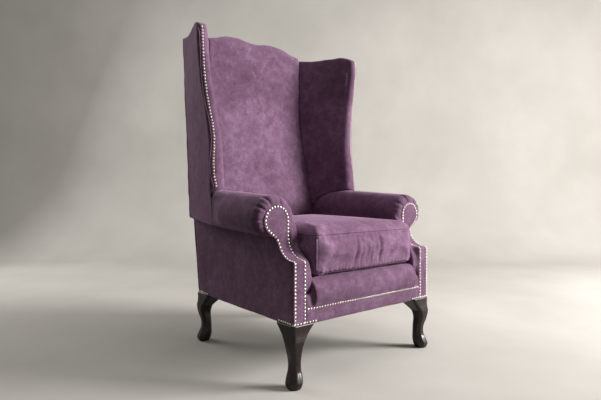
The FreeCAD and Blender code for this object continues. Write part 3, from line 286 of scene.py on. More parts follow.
class Finish:
    """A procedural finish on Object coordinates, built node by node."""

    def __init__(self, name, **steady):
        self.stuff = bpy.data.materials.new(name)
        self.stuff.use_nodes = True
        self.tree = self.stuff.node_tree
        self.shader = next(node for node in self.tree.nodes if node.type == "BSDF_PRINCIPLED")
        self.spots = self.tree.nodes.new("ShaderNodeTexCoord").outputs["Object"]
        for socket, value in steady.items():
            self.shader.inputs[socket.replace("_", " ").title().replace("Ior", "IOR")].default_value = value

    def node(self, kind, links=(), **settings):
        made = self.tree.nodes.new(kind)
        for key, value in settings.items():
            setattr(made, key, value)
        for socket, value in dict(links).items():
            if isinstance(value, bpy.types.NodeSocket):
                self.tree.links.new(value, made.inputs[socket])
            else:
                made.inputs[socket].default_value = value
        return made

    def squeezed(self, stretch):
        """Object coordinates scaled on each axis."""
        return self.node("ShaderNodeMapping", {"Vector": self.spots, "Scale": stretch}).outputs["Vector"]

    def grain(self, scale, detail=3.0, rough=0.55, warp=0.0, where=None):
        links = {"Vector": where or self.spots, "Scale": scale, "Detail": detail, "Roughness": rough}
        links["Distortion"] = warp
        return self.node("ShaderNodeTexNoise", links).outputs["Fac"]

    def ramp(self, value, *stops):
        made = self.node("ShaderNodeValToRGB", {"Fac": value})
        band = made.color_ramp
        while len(band.elements) < len(stops):
            band.elements.new(0.5)
        for element, (place, colour) in zip(band.elements, stops):
            element.position = place
            element.color = colour
        return made.outputs["Color"]

    def sum_of(self, first, second, share):
        """first + share * second."""
        terms = {0: second, 1: share, 2: first}
        return self.node("ShaderNodeMath", terms, operation="MULTIPLY_ADD").outputs[0]

    def spread(self, value, low, high, to_low, to_high):
        links = {"Value": value, "From Min": low, "From Max": high, "To Min": to_low, "To Max": to_high}
        return self.node("ShaderNodeMapRange", links).outputs["Result"]

    def colour(self, output):
        self.tree.links.new(output, self.shader.inputs["Base Color"])

    def rough(self, output):
        self.tree.links.new(output, self.shader.inputs["Roughness"])

    def relief(self, height, depth, strength=1.0):
        bump = self.node("ShaderNodeBump", {"Height": height, "Distance": depth, "Strength": strength})
        self.tree.links.new(bump.outputs["Normal"], self.shader.inputs["Normal"])


def velvet(name, shift=1.0):
    """Plum velvet: a nap that lies in soft patches, mottled where it was stroked, over a short pile."""
    cloth = Finish(name, sheen_weight=0.5, sheen_roughness=0.32, specular_ior_level=0.1)
    cloth.shader.inputs["Sheen Tint"].default_value = tint(226, 190, 222)
    lay = cloth.grain(5.5, 2.0, 0.5, 0.3)
    stroke = cloth.grain(30.0, 5.0, 0.72, 0.35)
    mottle = cloth.grain(230.0, 3.0, 0.7, 0.2)
    pile = cloth.grain(1100.0, 2.0, 0.7)
    nap = cloth.sum_of(stroke, lay, 0.62)
    nap = cloth.sum_of(nap, mottle, 0.7)
    nap = cloth.sum_of(nap, pile, 0.4)
    level = cloth.spread(nap, 0.96, 1.76, 0.0, 1.0)
    # shift scales every tone; above 1 it paints sheen into the colour, making a lighter, lit copy of the same
    # cloth
    deep, rest, raised = (tuple(min(1, value * shift) for value in tone[:3]) + (1.0,)
                          for tone in (tint(82, 57, 75), tint(114, 84, 107), tint(148, 118, 144)))
    cloth.colour(cloth.ramp(level, (0.0, deep), (0.5, rest), (1.0, raised)))
    cloth.rough(cloth.spread(mottle, 0.3, 0.7, 0.74, 0.9))
    cloth.relief(cloth.sum_of(cloth.sum_of(pile, mottle, 1.6), stroke, 1.2), 0.0011, 0.5)
    return cloth.stuff


def polished_mahogany():
    """Near-black mahogany stain under a high gloss."""
    wood = Finish("polished_mahogany", coat_weight=0.3, coat_roughness=0.06, specular_ior_level=0.22)
    figure = wood.grain(26.0, 5.0, 0.6, 1.4, wood.squeezed((5.0, 5.0, 0.7)))
    pores = wood.grain(420.0, 2.0, 0.6, 0.0, wood.squeezed((1.0, 1.0, 0.12)))
    level = wood.sum_of(figure, pores, 0.25)
    wood.colour(wood.ramp(level, (0.42, tint(9, 5, 6)), (0.62, tint(24, 11, 12)), (0.8, tint(46, 20, 20))))
    wood.rough(wood.spread(pores, 0.3, 0.75, 0.24, 0.4))
    wood.relief(pores, 0.0004, 0.35)
    return wood.stuff


def antique_nail():
    """Pewter nail heads in patchy tones, from dull to rubbed bright."""
    metal = Finish("antique_nail", metallic=0.7)
    patina = metal.grain(160.0, 3.0, 0.6)
    tarnish = metal.grain(900.0, 2.0, 0.5)
    level = metal.sum_of(patina, tarnish, 0.5)
    dull, worn, rubbed = tint(146, 134, 132), tint(198, 187, 181), tint(236, 228, 219)
    metal.colour(metal.ramp(level, (0.5, dull), (0.75, worn), (0.95, rubbed)))
    metal.rough(metal.spread(tarnish, 0.3, 0.7, 0.24, 0.4))
    metal.relief(tarnish, 0.0002, 0.3)
    return metal.stuff


def beech():
    """Pale sawn frame wood."""
    wood = Finish("frame_beech", specular_ior_level=0.3)
    figure = wood.grain(18.0, 5.0, 0.6, 0.9, wood.squeezed((3.0, 0.6, 3.0)))
    fleck = wood.grain(260.0, 2.0, 0.6, 0.0, wood.squeezed((1.0, 0.25, 1.0)))
    level = wood.sum_of(figure, fleck, 0.3)
    dark, middle, light = tint(168, 128, 88), tint(198, 160, 116), tint(220, 188, 146)
    wood.colour(wood.ramp(level, (0.45, dark), (0.65, middle), (0.85, light)))
    wood.rough(wood.spread(fleck, 0.3, 0.7, 0.55, 0.75))
    wood.relief(level, 0.0005, 0.4)
    return wood.stuff


def plain_steel():
    """Turned steel."""
    metal = Finish("bolt_steel", metallic=1.0)
    swirl = metal.grain(90.0, 3.0, 0.6, 0.0, metal.squeezed((1.0, 1.0, 6.0)))
    metal.colour(metal.ramp(swirl, (0.3, tint(120, 122, 126)), (0.7, tint(176, 178, 182))))
    metal.rough(metal.spread(swirl, 0.3, 0.7, 0.3, 0.5))
    metal.relief(swirl, 0.0002, 0.3)
    return metal.stuff


def woven(name, dark, light, pitch, depth=0.0006, rough_low=0.8, rough_high=0.95):
    """A plain weave of threads at a pitch, with slubs."""
    cloth = Finish(name, sheen_weight=0.15, sheen_roughness=0.5, specular_ior_level=0.15)
    bands = {"Vector": cloth.spots, "Scale": 1 / pitch / 2}
    across = cloth.node("ShaderNodeTexWave", bands, bands_direction="X")
    along = cloth.node("ShaderNodeTexWave", bands, bands_direction="Y")
    crossing = {0: across.outputs["Fac"], 1: along.outputs["Fac"]}
    threads = cloth.node("ShaderNodeMath", crossing, operation="MAXIMUM")
    slub = cloth.grain(55.0, 4.0, 0.6)
    level = cloth.sum_of(slub, threads.outputs[0], 0.35)
    cloth.colour(cloth.ramp(level, (0.45, dark), (0.95, light)))
    cloth.rough(cloth.spread(slub, 0.3, 0.7, rough_low, rough_high))
    cloth.relief(level, depth, 0.6)
    return cloth.stuff


def cream_foam():
    """Open-cell foam."""
    foam = Finish("cushion_foam", specular_ior_level=0.1)
    cells = foam.node("ShaderNodeTexVoronoi", {"Vector": foam.spots, "Scale": 420.0}).outputs["Distance"]
    haze = foam.grain(12.0, 3.0, 0.5)
    level = foam.sum_of(haze, cells, 0.5)
    foam.colour(foam.ramp(level, (0.4, tint(206, 190, 140)), (0.9, tint(236, 224, 184))))
    foam.rough(foam.spread(haze, 0.3, 0.7, 0.85, 0.95))
    foam.relief(cells, 0.0008, 0.6)
    return foam.stuff


plum_velvet = velvet("plum_velvet")
# The cushion and its welts use the same plum velvet painted 1.28 times lighter: a painted sheen for the light
# its nap catches across the cushion front
cushion_velvet = velvet("cushion_velvet", 1.28)
mahogany = polished_mahogany()
nail_metal = antique_nail()
frame_beech = beech()
bolt_steel = plain_steel()
jute = woven("jute_webbing", tint(132, 104, 66), tint(186, 158, 112), 0.0022, 0.0008)
deck_linen = woven("deck_linen", tint(70, 44, 62), tint(104, 72, 94), 0.0012)
dust_cambric = woven("dust_cambric", tint(16, 15, 16), tint(38, 36, 38), 0.0012)
zip_tape = woven("zip_tape", tint(52, 34, 48), tint(86, 60, 78), 0.0010)
foam = cream_foam()

# Upholstery skins

SIDES = (("left", 1), ("right", -1))


def block_between(near, far, low, high, inner, outer, sign):
    """A filling block beside the tapering flank, between two insets from it."""
    def corner(depth, inset, up):
        return bench(sign * flank(depth, inset), depth, up)
    ring = [(near, inner), (near, outer), (far, outer), (far, inner)]
    if sign < 0:
        ring.reverse()
    return [corner(depth, inset, up) for up in (low, high) for depth, inset in ring]


def roll_front_gathers(piece, sign):
    """The cover drawn in round a scroll face: fine gathers and a few marked pleats on the front rim."""
    spots = places(piece.data)
    across = (spots[:, 0] * 1000 * sign - ROLL_X)
    up = spots[:, 2] * 1000 - LEG_HEIGHT - ARM_LINE
    depth = spots[:, 1] * 1000 + MIDDLE_DEPTH
    radius = np.hypot(across, up)
    angle = np.degrees(np.arctan2(up, across))
    near_rim = fade(radius, HEAD_RADIUS - 2, HEAD_RADIUS + 7) * (1 - fade(depth, 96, 132))
    upper = fade(angle, -70, -35) * (1 - fade(np.abs(angle - 60), 120, 150))
    wobble = drift(np.column_stack([angle / 60, np.zeros_like(angle), np.zeros_like(angle)]), 0.35, 11 + sign)
    folds = np.cos(np.radians(angle * 24 + 260 * wobble)) * (0.55 + 0.45 * wobble)
    pleats = np.zeros_like(angle)
    for place, deep in ((104, 1.0), (66, 0.9), (38, 0.7), (140, 0.7), (4, 0.55)):
        pleats += deep * np.exp(-((angle - place) / 3.2) ** 2)
    amount = near_rim * upper * (0.0013 * folds - 0.0062 * pleats)
    return push(piece, amount)


def tuck_under_wing(piece, sign):
    """The rear end of a roll drawn in to the wing's outside panel, where it runs under the wing."""
    spots = places(piece.data)
    proud = spots[:, 0] * 1000 * sign - WING_PANEL_EDGE
    depth = spots[:, 1] * 1000 + MIDDLE_DEPTH
    drawn = fade(depth, TUCK_START, TUCK_END) * 0.9
    spots[:, 0] -= sign * np.maximum(proud, 0) * drawn / 1000
    put_back(piece.data, spots)


skins = {}
for side, sign in SIDES:
    filling = block_between(near=130, far=660, low=100, high=345, inner=44, outer=3, sign=sign)
    arm = copy_of(
        f"arm_{side}", f"inside_arm_{side}", f"outside_arm_{side}", f"arm_stump_{side}", f"arm_scroll_{side}",
        f"arm_rail_{side}", f"arm_tack_rail_{side}", f"side_rail_{side}", blocks=[filling],
    )
    skin_over(arm, 0.004)
    relax(arm, 7, 0.5, 0.15)
    hand_stuffed(arm, 3 + sign)
    tuck_under_wing(arm, sign)
    roll_front_gathers(arm, sign)
    smooth_faces(arm)
    dress(arm, plum_velvet, "chair", "velvet", f"inside_arm_{side}", f"outside_arm_{side}")
    skins[f"arm_{side}"] = arm

    wing = copy_of(
        f"wing_{side}", f"inside_wing_{side}", f"outside_wing_{side}", f"wing_post_{side}",
        f"wing_rail_{side}",
    )
    skin_over(wing, 0.004)
    relax(wing, 9, 0.5, 0.12)
    hand_stuffed(wing, 21 + sign)
    smooth_faces(wing)
    dress(wing, plum_velvet, "chair", "velvet", f"inside_wing_{side}", f"outside_wing_{side}")
    skins[f"wing_{side}"] = wing

    facing = skin_over(copy_of(f"facing_{side}", f"arm_facing_{side}"), 0.0016)
    relax(facing, 5, 0.5, 0.1)
    hand_stuffed(facing, 31 + sign, 0.0004, 0.0002)
    smooth_faces(facing)
    dress(facing, plum_velvet, "chair", "velvet", f"arm_facing_{side}")
    skins[f"facing_{side}"] = facing

back = copy_of(
    "back_upholstery", "inside_back", "outside_back", "crest_rail", "lower_back_rail", "back_post_left",
    "back_post_right",
)
skin_over(back, 0.005)
relax(back, 8, 0.5, 0.12)
hand_stuffed(back, 41, 0.0022, 0.0006)
spots = places(back.data)
off_middle = np.abs(spots[:, 0])
lowered = 0.006 * (1 - fade(off_middle, 0.03, 0.085)) + 0.017 * fade(off_middle, 0.12, 0.25)
spots[:, 2] -= lowered * fade(spots[:, 2], 1.16, 1.29)
put_back(back.data, spots)
smooth_faces(back)
dress(back, plum_velvet, "chair", "velvet", "inside_back", "outside_back")
skins["back"] = back

lower_back = skin_over(copy_of("lower_back_cover", "lower_back_panel", "rear_rail"), 0.003)
relax(lower_back, 5, 0.5, 0.15)
hand_stuffed(lower_back, 47, 0.0008, 0.0003)
smooth_faces(lower_back)
dress(lower_back, plum_velvet, "chair", "velvet", "lower_back_panel")

border = skin_over(copy_of("front_border_cover", "front_border", "front_rail"), 0.0035)
relax(border, 8, 0.5, 0.12)
hand_stuffed(border, 53, 0.0016, 0.0005)
smooth_faces(border)
dress(border, plum_velvet, "chair", "velvet", "front_border")
skins["border"] = border

deck = skin_over(copy_of("seat_deck_cover", "seat_deck"), 0.005)
relax(deck, 6, 0.5, 0.1)
hand_stuffed(deck, 59, 0.0012, 0.0004)
spots = places(deck.data)
spots[:, 2] = np.minimum(spots[:, 2], (DECK_HEIGHT + LEG_HEIGHT) / 1000)
put_back(deck.data, spots)
smooth_faces(deck)
dress(deck, deck_linen, "chair", "deck_cloth", "seat_deck")

# Seat cushion


def swell(piece, cap, frames=20):
    """Fill a cover as its stuffing does: pressure from inside, no point moving further than the cap."""
    start = places(piece.data)
    cloth = piece.modifiers.new("stuffing", "CLOTH")
    cloth.settings.quality = 5
    cloth.settings.mass = 0.3
    cloth.settings.tension_stiffness = 15
    cloth.settings.compression_stiffness = 15
    cloth.settings.bending_stiffness = 4.0
    cloth.settings.use_pressure = True
    cloth.settings.uniform_pressure_force = 4
    cloth.settings.effector_weights.gravity = 0
    cloth.collision_settings.use_collision = False
    cloth.point_cache.frame_start = 1
    cloth.point_cache.frame_end = frames
    for step in range(1, frames + 1):
        bpy.context.scene.frame_set(step)
    settle(piece)
    bpy.context.scene.frame_set(1)
    moved = places(piece.data) - start
    length = np.linalg.norm(moved, axis=1, keepdims=True)
    put_back(piece.data, start + moved * np.minimum(1, cap / np.maximum(length, 1e-9)))
    return piece


cushion = skin_over(copy_of(
    "seat_cushion", "cushion_cover", "cushion_core", "cushion_zip", "cushion_piping"), 0.006)
relax(cushion, 5, 0.5, 0.1)
low_corner, high_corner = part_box("cushion_cover")
centre = (low_corner + high_corner) / 2
push(cushion, np.full(len(cushion.data.vertices), -0.002))
swell(cushion, 0.006)
relax(cushion, 3, 0.5)
finer = cushion.modifiers.new("finer", "SUBSURF")
finer.levels = finer.render_levels = 1
settle(cushion)

spots = places(cushion.data)
across, depth, up = spots[:, 0], spots[:, 1], spots[:, 2]
seam_low = (SEAM_LOW + LEG_HEIGHT) / 1000
seam_high = (SEAM_HIGH + LEG_HEIGHT) / 1000
front_side = 1 - fade(depth, low_corner.y + 0.004, low_corner.y + 0.05)
boxing = fade(up, seam_low, seam_low + 0.03) * (1 - fade(up, seam_high - 0.03, seam_high))
wander = drift(np.column_stack([across, depth, up * 0.35]), 0.05, 3)
ripple = np.cos(across / 0.0165 + 2.4 * drift(np.column_stack([across, up, across * 0]), 0.09, 5))
soft_folds = drift(np.column_stack([across, up * 0.22, depth * 0.0]), 0.036, 8)
middle_third = np.exp(-((across - 0.02) / 0.13) ** 2)
folds = np.zeros_like(across)
front_folds = ((-0.072, 0.8, 0.10), (-0.040, 0.45, 0.06), (0.014, 0.6, -0.05), (0.056, 1.0, 0.05))
for place, deep, lean in front_folds:
    line = across - place - lean * (up - seam_low) - 0.004 * wander
    folds += deep * (np.exp(-(line / 0.0065) ** 2) - 0.7 * np.exp(-((line - 0.013) / 0.010) ** 2))
creased = 0.0016 * middle_third * soft_folds + 0.0004 * ripple * middle_third - 0.0026 * folds
amount = front_side * boxing * creased
near_low = np.exp(-((up - seam_low) / 0.020) ** 2)
near_high = np.exp(-((up - seam_high) / 0.012) ** 2)
around_side = np.arctan2(depth - centre.y, across - centre.x)
puckers = np.cos(around_side * 118 + 5 * wander)
amount = amount + 0.0009 * near_low * puckers + 0.0005 * near_high * puckers
for level, width in ((seam_low, 0.0045), (seam_high, 0.004)):
    amount = amount - SEAM_GROOVE * np.exp(-((up - level) / width) ** 2)
under = 1 - fade(up, seam_low - 0.014, seam_low - 0.001)
underside = drift(np.column_stack([across, up * 0.5, depth * 0.5]), 0.022, 9)
amount = amount + front_side * under * 0.0022 * underside
amount = amount + 0.0024 * drift(spots, 0.12, 4) * fade(up, seam_low, seam_low + 0.06)
push(cushion, amount)
spots = places(cushion.data)
middle_of_front = np.exp(-(spots[:, 0] / 0.14) ** 2)
near_seam = np.exp(-((spots[:, 2] - seam_low) / 0.02) ** 2)
spots[:, 2] -= 0.005 * front_side * middle_of_front * near_seam
deck_top = (DECK_HEIGHT + LEG_HEIGHT) / 1000 + 0.0003
spots[:, 2] = np.maximum(spots[:, 2], deck_top)
spots[:, 0] = np.clip(spots[:, 0], low_corner.x - 0.0035, high_corner.x + 0.0035)
spots[:, 1] = np.clip(spots[:, 1], low_corner.y - 0.008, high_corner.y + 0.0035)
put_back(cushion.data, spots)
smooth_faces(cushion)
# The cushion cover uses the lighter velvet copy, with sheen painted into its colour
dress(cushion, cushion_velvet, "cushion", "velvet", "cushion_cover")


def tree_of(piece):
    """A search tree over a piece's skin."""
    grown = bmesh.new()
    grown.from_mesh(piece.data)
    tree = BVHTree.FromBMesh(grown)
    grown.free()
    return tree


cushion_tree = tree_of(cushion)


def seam_ring(height, dip):
    """The line of a cushion seam on the stuffed cover, dipping in the middle of the front."""
    ring = []
    count = 260
    for index in range(count):
        turn = 2 * math.pi * index / count
        heading = Vector((math.sin(turn), -math.cos(turn), 0))
        facing_front = max(0.0, -heading.y) ** 6
        level = height - dip * facing_front * math.exp(-((heading.x * 0.3) / 0.14) ** 2)
        start = Vector((centre.x, centre.y, level)) + heading * 0.6
        hit = cushion_tree.ray_cast(start, -heading)[0]
        if hit is not None:
            ring.append(hit + heading * 0.0016)
    soft = np.array(ring)
    for _ in range(2):
        soft = 0.5 * soft + 0.25 * (np.roll(soft, 1, 0) + np.roll(soft, -1, 0))
    return [Vector(spot) for spot in soft]


cushion_welts = joined("cushion_welts", [
    cord_along("welt_low", seam_ring(seam_low, 0.005), WELT + 0.0005, True),
    cord_along("welt_high", seam_ring(seam_high, 0.0), WELT + 0.0005, True),
])
dress(cushion_welts, cushion_velvet, "cushion", "velvet", "cushion_piping")

# Nail rows


def swept_depth(up):
    """Depth of the swept front of an arm at a height."""
    if up <= SWEEP_LOW:
        return 0.0
    if up >= SWEEP_HIGH:
        return ARM_SETBACK
    return SHELF_NOSE + math.sqrt(SWEEP_RADIUS ** 2 - (SWEEP_HIGH - up) ** 2)


def facing_row(sign):
    """Up the inner edge of a facing, round its head and down the outer edge."""
    row = [(FACING_ROW_INNER, up) for up in range(6, 326, 4)]
    for turn in range(180, -62, -4):
        bearing = math.radians(turn)
        across = ROLL_X + HEAD_ROW_RADIUS * math.cos(bearing)
        row.append((across, ARM_LINE + HEAD_ROW_RADIUS * math.sin(bearing)))
    row += [(362, 282), (355, 276), (348, 269), (342.5, 261)]
    row += [(FACING_ROW_OUTER, up) for up in range(254, 4, -4)]
    return [bench(sign * across, swept_depth(up) - 1, up) for across, up in row]


WING_LINE = (
    (1225, 405, 460), (1180, 408, 449), (1130, 406, 449), (1080, 402, 453), (1030, 395, 456), (980, 388, 455),
    (930, 380, 451), (880, 372, 444), (830, 368, 438), (780, 369, 437), (730, 373, 435), (680, 375, 428),
    (640, 371, 416),
)


def wing_row(sign):
    """The nailed front edge of a wing."""
    return [bench(sign * across, depth, level - LEG_HEIGHT) for level, across, depth in WING_LINE]


rows = [[bench(across, 0, BORDER_ROW_HEIGHT) for across in range(-286, 290, 6)]]
for side, sign in SIDES:
    rows.append(facing_row(sign))
    rows.append(wing_row(sign))
    rows.append([bench(sign * across, -1, HEM_ROW_HEIGHT) for across in range(343, 250, -6)])
    for hem in (range(6, 84, 6), range(590, 670, 6)):
        rows.append([bench(sign * (flank(depth) + 1), depth, HEM_ROW_HEIGHT) for depth in hem])

nail_lines = bpy.data.meshes.new("nail_lines")
corners, strips = [], []
for row in rows:
    first = len(corners)
    corners += [tuple(point) for point in row]
    strips += [(first + index, first + index + 1) for index in range(len(row) - 1)]
nail_lines.from_pydata(corners, strips, [])
nails = link("nail_heads", nail_lines)

under_nails = bmesh.new()
for skin in skins.values():
    under_nails.from_mesh(skin.data)
backing_mesh = bpy.data.meshes.new("nail_backing")
under_nails.to_mesh(backing_mesh)
under_nails.free()
backing = link("nail_backing", backing_mesh)


def nail_tree():
    """Domed heads at an even pitch along every line, each seated square on the cover below it."""
    tree = bpy.data.node_groups.new("nail_rows", "GeometryNodeTree")
    face = tree.interface
    face.new_socket("Geometry", in_out="INPUT", socket_type="NodeSocketGeometry")
    face.new_socket("Cover", in_out="INPUT", socket_type="NodeSocketObject")
    sizes = (("Pitch", NAIL_PITCH), ("Head Width", NAIL_SIZE), ("Head Height", 0.55), ("Lift", 0.0002))
    for name, amount in sizes:
        face.new_socket(name, in_out="INPUT", socket_type="NodeSocketFloat").default_value = amount
    face.new_socket("Finish", in_out="INPUT", socket_type="NodeSocketMaterial")
    face.new_socket("Geometry", in_out="OUTPUT", socket_type="NodeSocketGeometry")
    make, wire = tree.nodes.new, tree.links.new
    given, result = make("NodeGroupInput"), make("NodeGroupOutput")
    lines = make("GeometryNodeMeshToCurve")
    wire(given.outputs["Geometry"], lines.inputs["Mesh"])
    spaced = make("GeometryNodeResampleCurve")
    spaced.mode = "LENGTH"
    wire(lines.outputs["Curve"], spaced.inputs["Curve"])
    wire(given.outputs["Pitch"], spaced.inputs["Length"])
    dots = make("GeometryNodeCurveToPoints")
    dots.mode = "EVALUATED"
    wire(spaced.outputs["Curve"], dots.inputs["Curve"])
    cover = make("GeometryNodeObjectInfo")
    wire(given.outputs["Cover"], cover.inputs["Object"])
    nearest = make("GeometryNodeProximity")
    wire(cover.outputs["Geometry"], nearest.inputs[0])
    facing_out = make("GeometryNodeSampleNearestSurface")
    facing_out.data_type = "FLOAT_VECTOR"
    wire(cover.outputs["Geometry"], facing_out.inputs["Mesh"])
    wire(make("GeometryNodeInputNormal").outputs["Normal"], facing_out.inputs["Value"])
    lifted = make("ShaderNodeVectorMath")
    lifted.operation = "SCALE"
    wire(facing_out.outputs["Value"], lifted.inputs["Vector"])
    wire(given.outputs["Lift"], lifted.inputs["Scale"])
    seat = make("ShaderNodeVectorMath")
    wire(nearest.outputs["Position"], seat.inputs[0])
    wire(lifted.outputs["Vector"], seat.inputs[1])
    seated = make("GeometryNodeSetPosition")
    wire(dots.outputs["Points"], seated.inputs["Geometry"])
    wire(seat.outputs["Vector"], seated.inputs["Position"])
    aligned = make("FunctionNodeAlignRotationToVector")
    aligned.axis = "Z"
    wire(facing_out.outputs["Value"], aligned.inputs["Vector"])
    ball = make("GeometryNodeMeshUVSphere")
    ball.inputs["Segments"].default_value = 8
    ball.inputs["Rings"].default_value = 6
    half = make("ShaderNodeMath")
    half.operation = "MULTIPLY"
    half.inputs[1].default_value = 0.5
    wire(given.outputs["Head Width"], half.inputs[0])
    wire(half.outputs[0], ball.inputs["Radius"])
    squat = make("ShaderNodeCombineXYZ")
    squat.inputs["X"].default_value = squat.inputs["Y"].default_value = 1
    wire(given.outputs["Head Height"], squat.inputs["Z"])
    dome = make("GeometryNodeTransform")
    wire(ball.outputs["Mesh"], dome.inputs["Geometry"])
    wire(squat.outputs["Vector"], dome.inputs["Scale"])
    driven = make("GeometryNodeInstanceOnPoints")
    wire(seated.outputs["Geometry"], driven.inputs["Points"])
    wire(dome.outputs["Geometry"], driven.inputs["Instance"])
    wire(aligned.outputs["Rotation"], driven.inputs["Rotation"])
    real = make("GeometryNodeRealizeInstances")
    wire(driven.outputs["Instances"], real.inputs["Geometry"])
    smooth = make("GeometryNodeSetShadeSmooth")
    wire(real.outputs["Geometry"], smooth.inputs["Geometry"])
    painted = make("GeometryNodeSetMaterial")
    wire(smooth.outputs["Geometry"], painted.inputs["Geometry"])
    wire(given.outputs["Finish"], painted.inputs["Material"])
    wire(painted.outputs["Geometry"], result.inputs["Geometry"])
    return tree


driving = nails.modifiers.new("nail_rows", "NODES")
driving.node_group = nail_tree()
given_sockets = driving.node_group.interface.items_tree
sockets = {item.name: item.identifier for item in given_sockets if item.in_out == "INPUT"}
driving[sockets["Cover"]] = backing
driving[sockets["Finish"]] = nail_metal
driving[sockets["Pitch"]] = NAIL_PITCH
driving[sockets["Head Width"]] = NAIL_SIZE
settle(nails)
bpy.data.objects.remove(backing)
smooth_faces(nails)
dress(nails, nail_metal, "chair", "steel")

# Welts on the wings


def on_skin(points, piece, lift):
    """Points dropped onto the nearest place of a skin."""
    tree = tree_of(piece)
    dropped = []
    for point in points:
        spot, normal, _, _ = tree.find_nearest(point)
        dropped.append(spot + normal * lift)
    return dropped


def dense(points, step=0.006):
    """More points along a run, on a smooth line through it."""
    knots = np.array([list(point) for point in points])
    padded_knots = np.vstack([2 * knots[0] - knots[1], knots, 2 * knots[-1] - knots[-2]])
    run = []
    for index in range(1, len(padded_knots) - 2):
        a, b, c, d = padded_knots[index - 1:index + 3]
        count = max(2, int(np.linalg.norm(c - b) / step))
        for share in np.arange(count) / count:
            run.append(0.5 * ((2 * b) + (c - a) * share + (2 * a - 5 * b + 4 * c - d) * share ** 2
                              + (3 * b - a - 3 * c + d) * share ** 3))
    run.append(padded_knots[-2])
    return [Vector(spot) for spot in run]


welts = []
for side, sign in SIDES:
    outer_line = [
        bench(sign * (across + 6), depth + 11, level - LEG_HEIGHT) for level, across, depth in WING_LINE
    ]
    run = on_skin(dense(outer_line), skins[f"wing_{side}"], 0.0004)
    welts.append(cord_along(f"wing_welt_{side}", run, WELT))
wing_welts = joined("wing_welts", welts)
dress(wing_welts, plum_velvet, "chair", "velvet")

# Dust cover


def dust_sheet():
    """Black cloth tacked under the frame, hanging a little between its edges."""
    grown = bmesh.new()
    columns = np.concatenate([
        np.linspace(-1, -0.745, 8), np.linspace(-0.7, 0.7, 29), np.linspace(0.745, 1, 8),
    ])
    depths = np.concatenate([np.linspace(6, 86, 9), np.linspace(104, 568, 27), np.linspace(586, 666, 9)])
    made = {}
    for row, depth in enumerate(depths):
        for column, share in enumerate(columns):
            across = share * flank(depth, 6)
            hang = (1 - share ** 4) * (1 - ((depth - 336) / 330) ** 4)
            wave = noise.noise(Vector((across / 90, depth / 90, 4)))
            made[row, column] = grown.verts.new(bench(across, depth, -0.9 - 2.2 * hang * (1 + 0.5 * wave)))
    for row in range(len(depths) - 1):
        for column in range(len(columns) - 1):
            outside = column < 7 or column > len(columns) - 9
            if outside and (depths[row + 1] <= 86.1 or depths[row] >= 585.9):
                continue
            grown.faces.new([made[row, column], made[row + 1, column],
                             made[row + 1, column + 1], made[row, column + 1]])
    bmesh.ops.delete(grown, geom=[vert for vert in grown.verts if not vert.link_faces], context="VERTS")
    mesh = bpy.data.meshes.new("dust_cloth")
    grown.to_mesh(mesh)
    grown.free()
    return smooth_faces(link("dust_cloth", mesh))


dust = dust_sheet()
dress(dust, dust_cambric, "chair", "dust_cloth", "dust_cover")

# Legs and frame

for name in ("leg_front_left", "leg_front_right", "leg_rear_left", "leg_rear_right"):
    leg = skin_over(copy_of(name.replace("leg_", "cabriole_"), name), 0.0019)
    relax(leg, 44, 0.5, 0.44)
    stance = places(leg.data)
    stance[:, 2] = np.maximum(stance[:, 2], 0.0)
    put_back(leg.data, stance)
    smooth_faces(leg)
    dress(leg, mahogany, "chair", "mahogany", name)

# The finish of every CAD node, also of those that a skin stands for
NODE_FINISHES = {
    "leg_bolts": bolt_steel, "seat_webbing": jute, "back_webbing": jute, "cushion_core": foam,
    "cushion_zip": zip_tape,
}
for name, item in nodes.items():
    finish = NODE_FINISHES.get(name, frame_beech)
    if name.startswith("leg_") and name != "leg_bolts":
        finish = mahogany
    if name.startswith(SOFT_NODES):
        finish = plum_velvet
    for holder in item.material_slots:
        holder.material = finish

# Studio


def pale_surface(name, low, high):
    """A matt painted studio surface."""
    paint = Finish(name, specular_ior_level=0.15)
    cloud = paint.grain(1.4, 4.0, 0.6)
    ray = paint.node("ShaderNodeLightPath").outputs
    looked_at = {0: ray["Is Camera Ray"], 1: ray["Is Glossy Ray"]}
    seen = paint.node("ShaderNodeMath", looked_at, operation="MAXIMUM")
    looked_through = {0: seen.outputs[0], 1: ray["Is Transmission Ray"]}
    shown = paint.node("ShaderNodeMath", looked_through, operation="MAXIMUM")
    pale = paint.ramp(cloud, (0.35, low), (0.7, high))
    calm = paint.ramp(cloud, (0.35, tint(112, 109, 104)), (0.7, tint(124, 121, 116)))
    mixed = paint.node("ShaderNodeMixRGB", {"Fac": shown.outputs[0], "Color1": calm, "Color2": pale})
    paint.colour(mixed.outputs["Color"])
    paint.rough(paint.spread(cloud, 0.3, 0.7, 0.75, 0.9))
    return paint.stuff


sweep_line = [(-5.0, 0.0), (2.2, 0.0)]
sweep_line += [(2.2 + 0.9 * math.sin(math.radians(turn)), 0.9 - 0.9 * math.cos(math.radians(turn)))
               for turn in range(10, 91, 10)]
sweep_line += [(3.1, 5.0)]
turned = Matrix.Rotation(math.radians(STUDIO_TURN), 3, "Z")
studio_points, studio_faces = [], []
for reach, height in sweep_line:
    for across in (-7.0, 7.0):
        studio_points.append(tuple(turned @ Vector((across, reach, height))))
for index in range(len(sweep_line) - 1):
    studio_faces.append((2 * index, 2 * index + 1, 2 * index + 3, 2 * index + 2))
studio_mesh = bpy.data.meshes.new("studio_floor")
studio_mesh.from_pydata(studio_points, [], studio_faces)
studio = smooth_faces(link("studio_floor", studio_mesh))
studio.data.materials.append(pale_surface("studio_paint", tint(196, 192, 184), tint(208, 204, 196)))


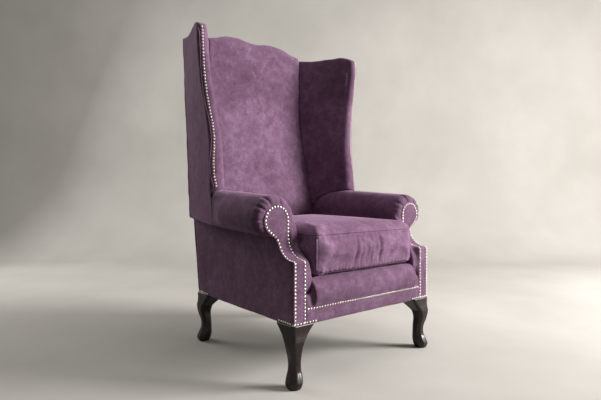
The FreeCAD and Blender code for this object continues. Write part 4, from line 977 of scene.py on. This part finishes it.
def soft_light(name, place, aim, size, power, colour):
    """A large soft lamp aimed at a point."""
    lamp = bpy.data.lights.new(name, "AREA")
    lamp.shape = "RECTANGLE"
    lamp.size, lamp.size_y = size
    lamp.energy = power
    lamp.color = colour
    holder = bpy.data.objects.new(name, lamp)
    bpy.context.scene.collection.objects.link(holder)
    holder.location = place
    holder.rotation_euler = (Vector(aim) - Vector(place)).to_track_quat("-Z", "Y").to_euler()
    return holder


soft_light("window_light", (3.15, -3.275, 1.95), (0.0, -0.05, 0.6), (1.8, 2.25), 416, (1.0, 0.985, 0.985))
soft_light("overhead_light", (0.5, -0.3, 3.2), (0.0, 0.0, 0.6), (2.2, 2.2), 24, (1.0, 0.99, 0.99))
soft_light("rear_light", (-1.2, 3.0, 1.9), (0.0, 0.0, 0.7), (1.8, 1.8), 42, (1.0, 0.99, 0.99))


def studio_world():
    """Weak light from all round, and a plain pale sky for the camera and for reflections."""
    world = bpy.data.worlds.new("studio")
    bpy.context.scene.world = world
    world.use_nodes = True
    make, wire = world.node_tree.nodes.new, world.node_tree.links.new
    glow = next(node for node in world.node_tree.nodes if node.type == "BACKGROUND")
    glow.inputs["Color"].default_value = tint(226, 224, 220)
    glow.inputs["Strength"].default_value = 0.16
    sky = make("ShaderNodeBackground")
    sky.inputs["Color"].default_value = tint(196, 192, 184)
    sky.inputs["Strength"].default_value = 0.8
    ray = make("ShaderNodeLightPath")
    either_sky = make("ShaderNodeMixShader")
    seen = ray.outputs["Is Camera Ray"]
    for kind in ("Is Glossy Ray", "Is Transmission Ray"):
        either = make("ShaderNodeMath")
        either.operation = "MAXIMUM"
        wire(seen, either.inputs[0])
        wire(ray.outputs[kind], either.inputs[1])
        seen = either.outputs["Value"]
    wire(seen, either_sky.inputs["Fac"])
    wire(glow.outputs["Background"], either_sky.inputs[1])
    wire(sky.outputs["Background"], either_sky.inputs[2])
    result = next(node for node in world.node_tree.nodes if node.type == "OUTPUT_WORLD")
    wire(either_sky.outputs["Shader"], result.inputs["Surface"])


studio_world()

lens = bpy.data.cameras.new("photo_view")
lens.lens = CAMERA_LENS
lens.sensor_width = 36
lens.clip_end = 60
camera = bpy.data.objects.new("photo_view", lens)
bpy.context.scene.collection.objects.link(camera)
camera.matrix_world = (
    Matrix.Translation(CAMERA_PLACE)
    @ Matrix.Rotation(math.radians(CAMERA_TURN), 4, "Z")
    @ Matrix.Rotation(math.radians(90 - CAMERA_DROP), 4, "X")
    @ Matrix.Rotation(math.radians(CAMERA_ROLL), 4, "Z")
)
bpy.context.scene.camera = camera
bpy.context.scene.view_settings.view_transform = "Standard"
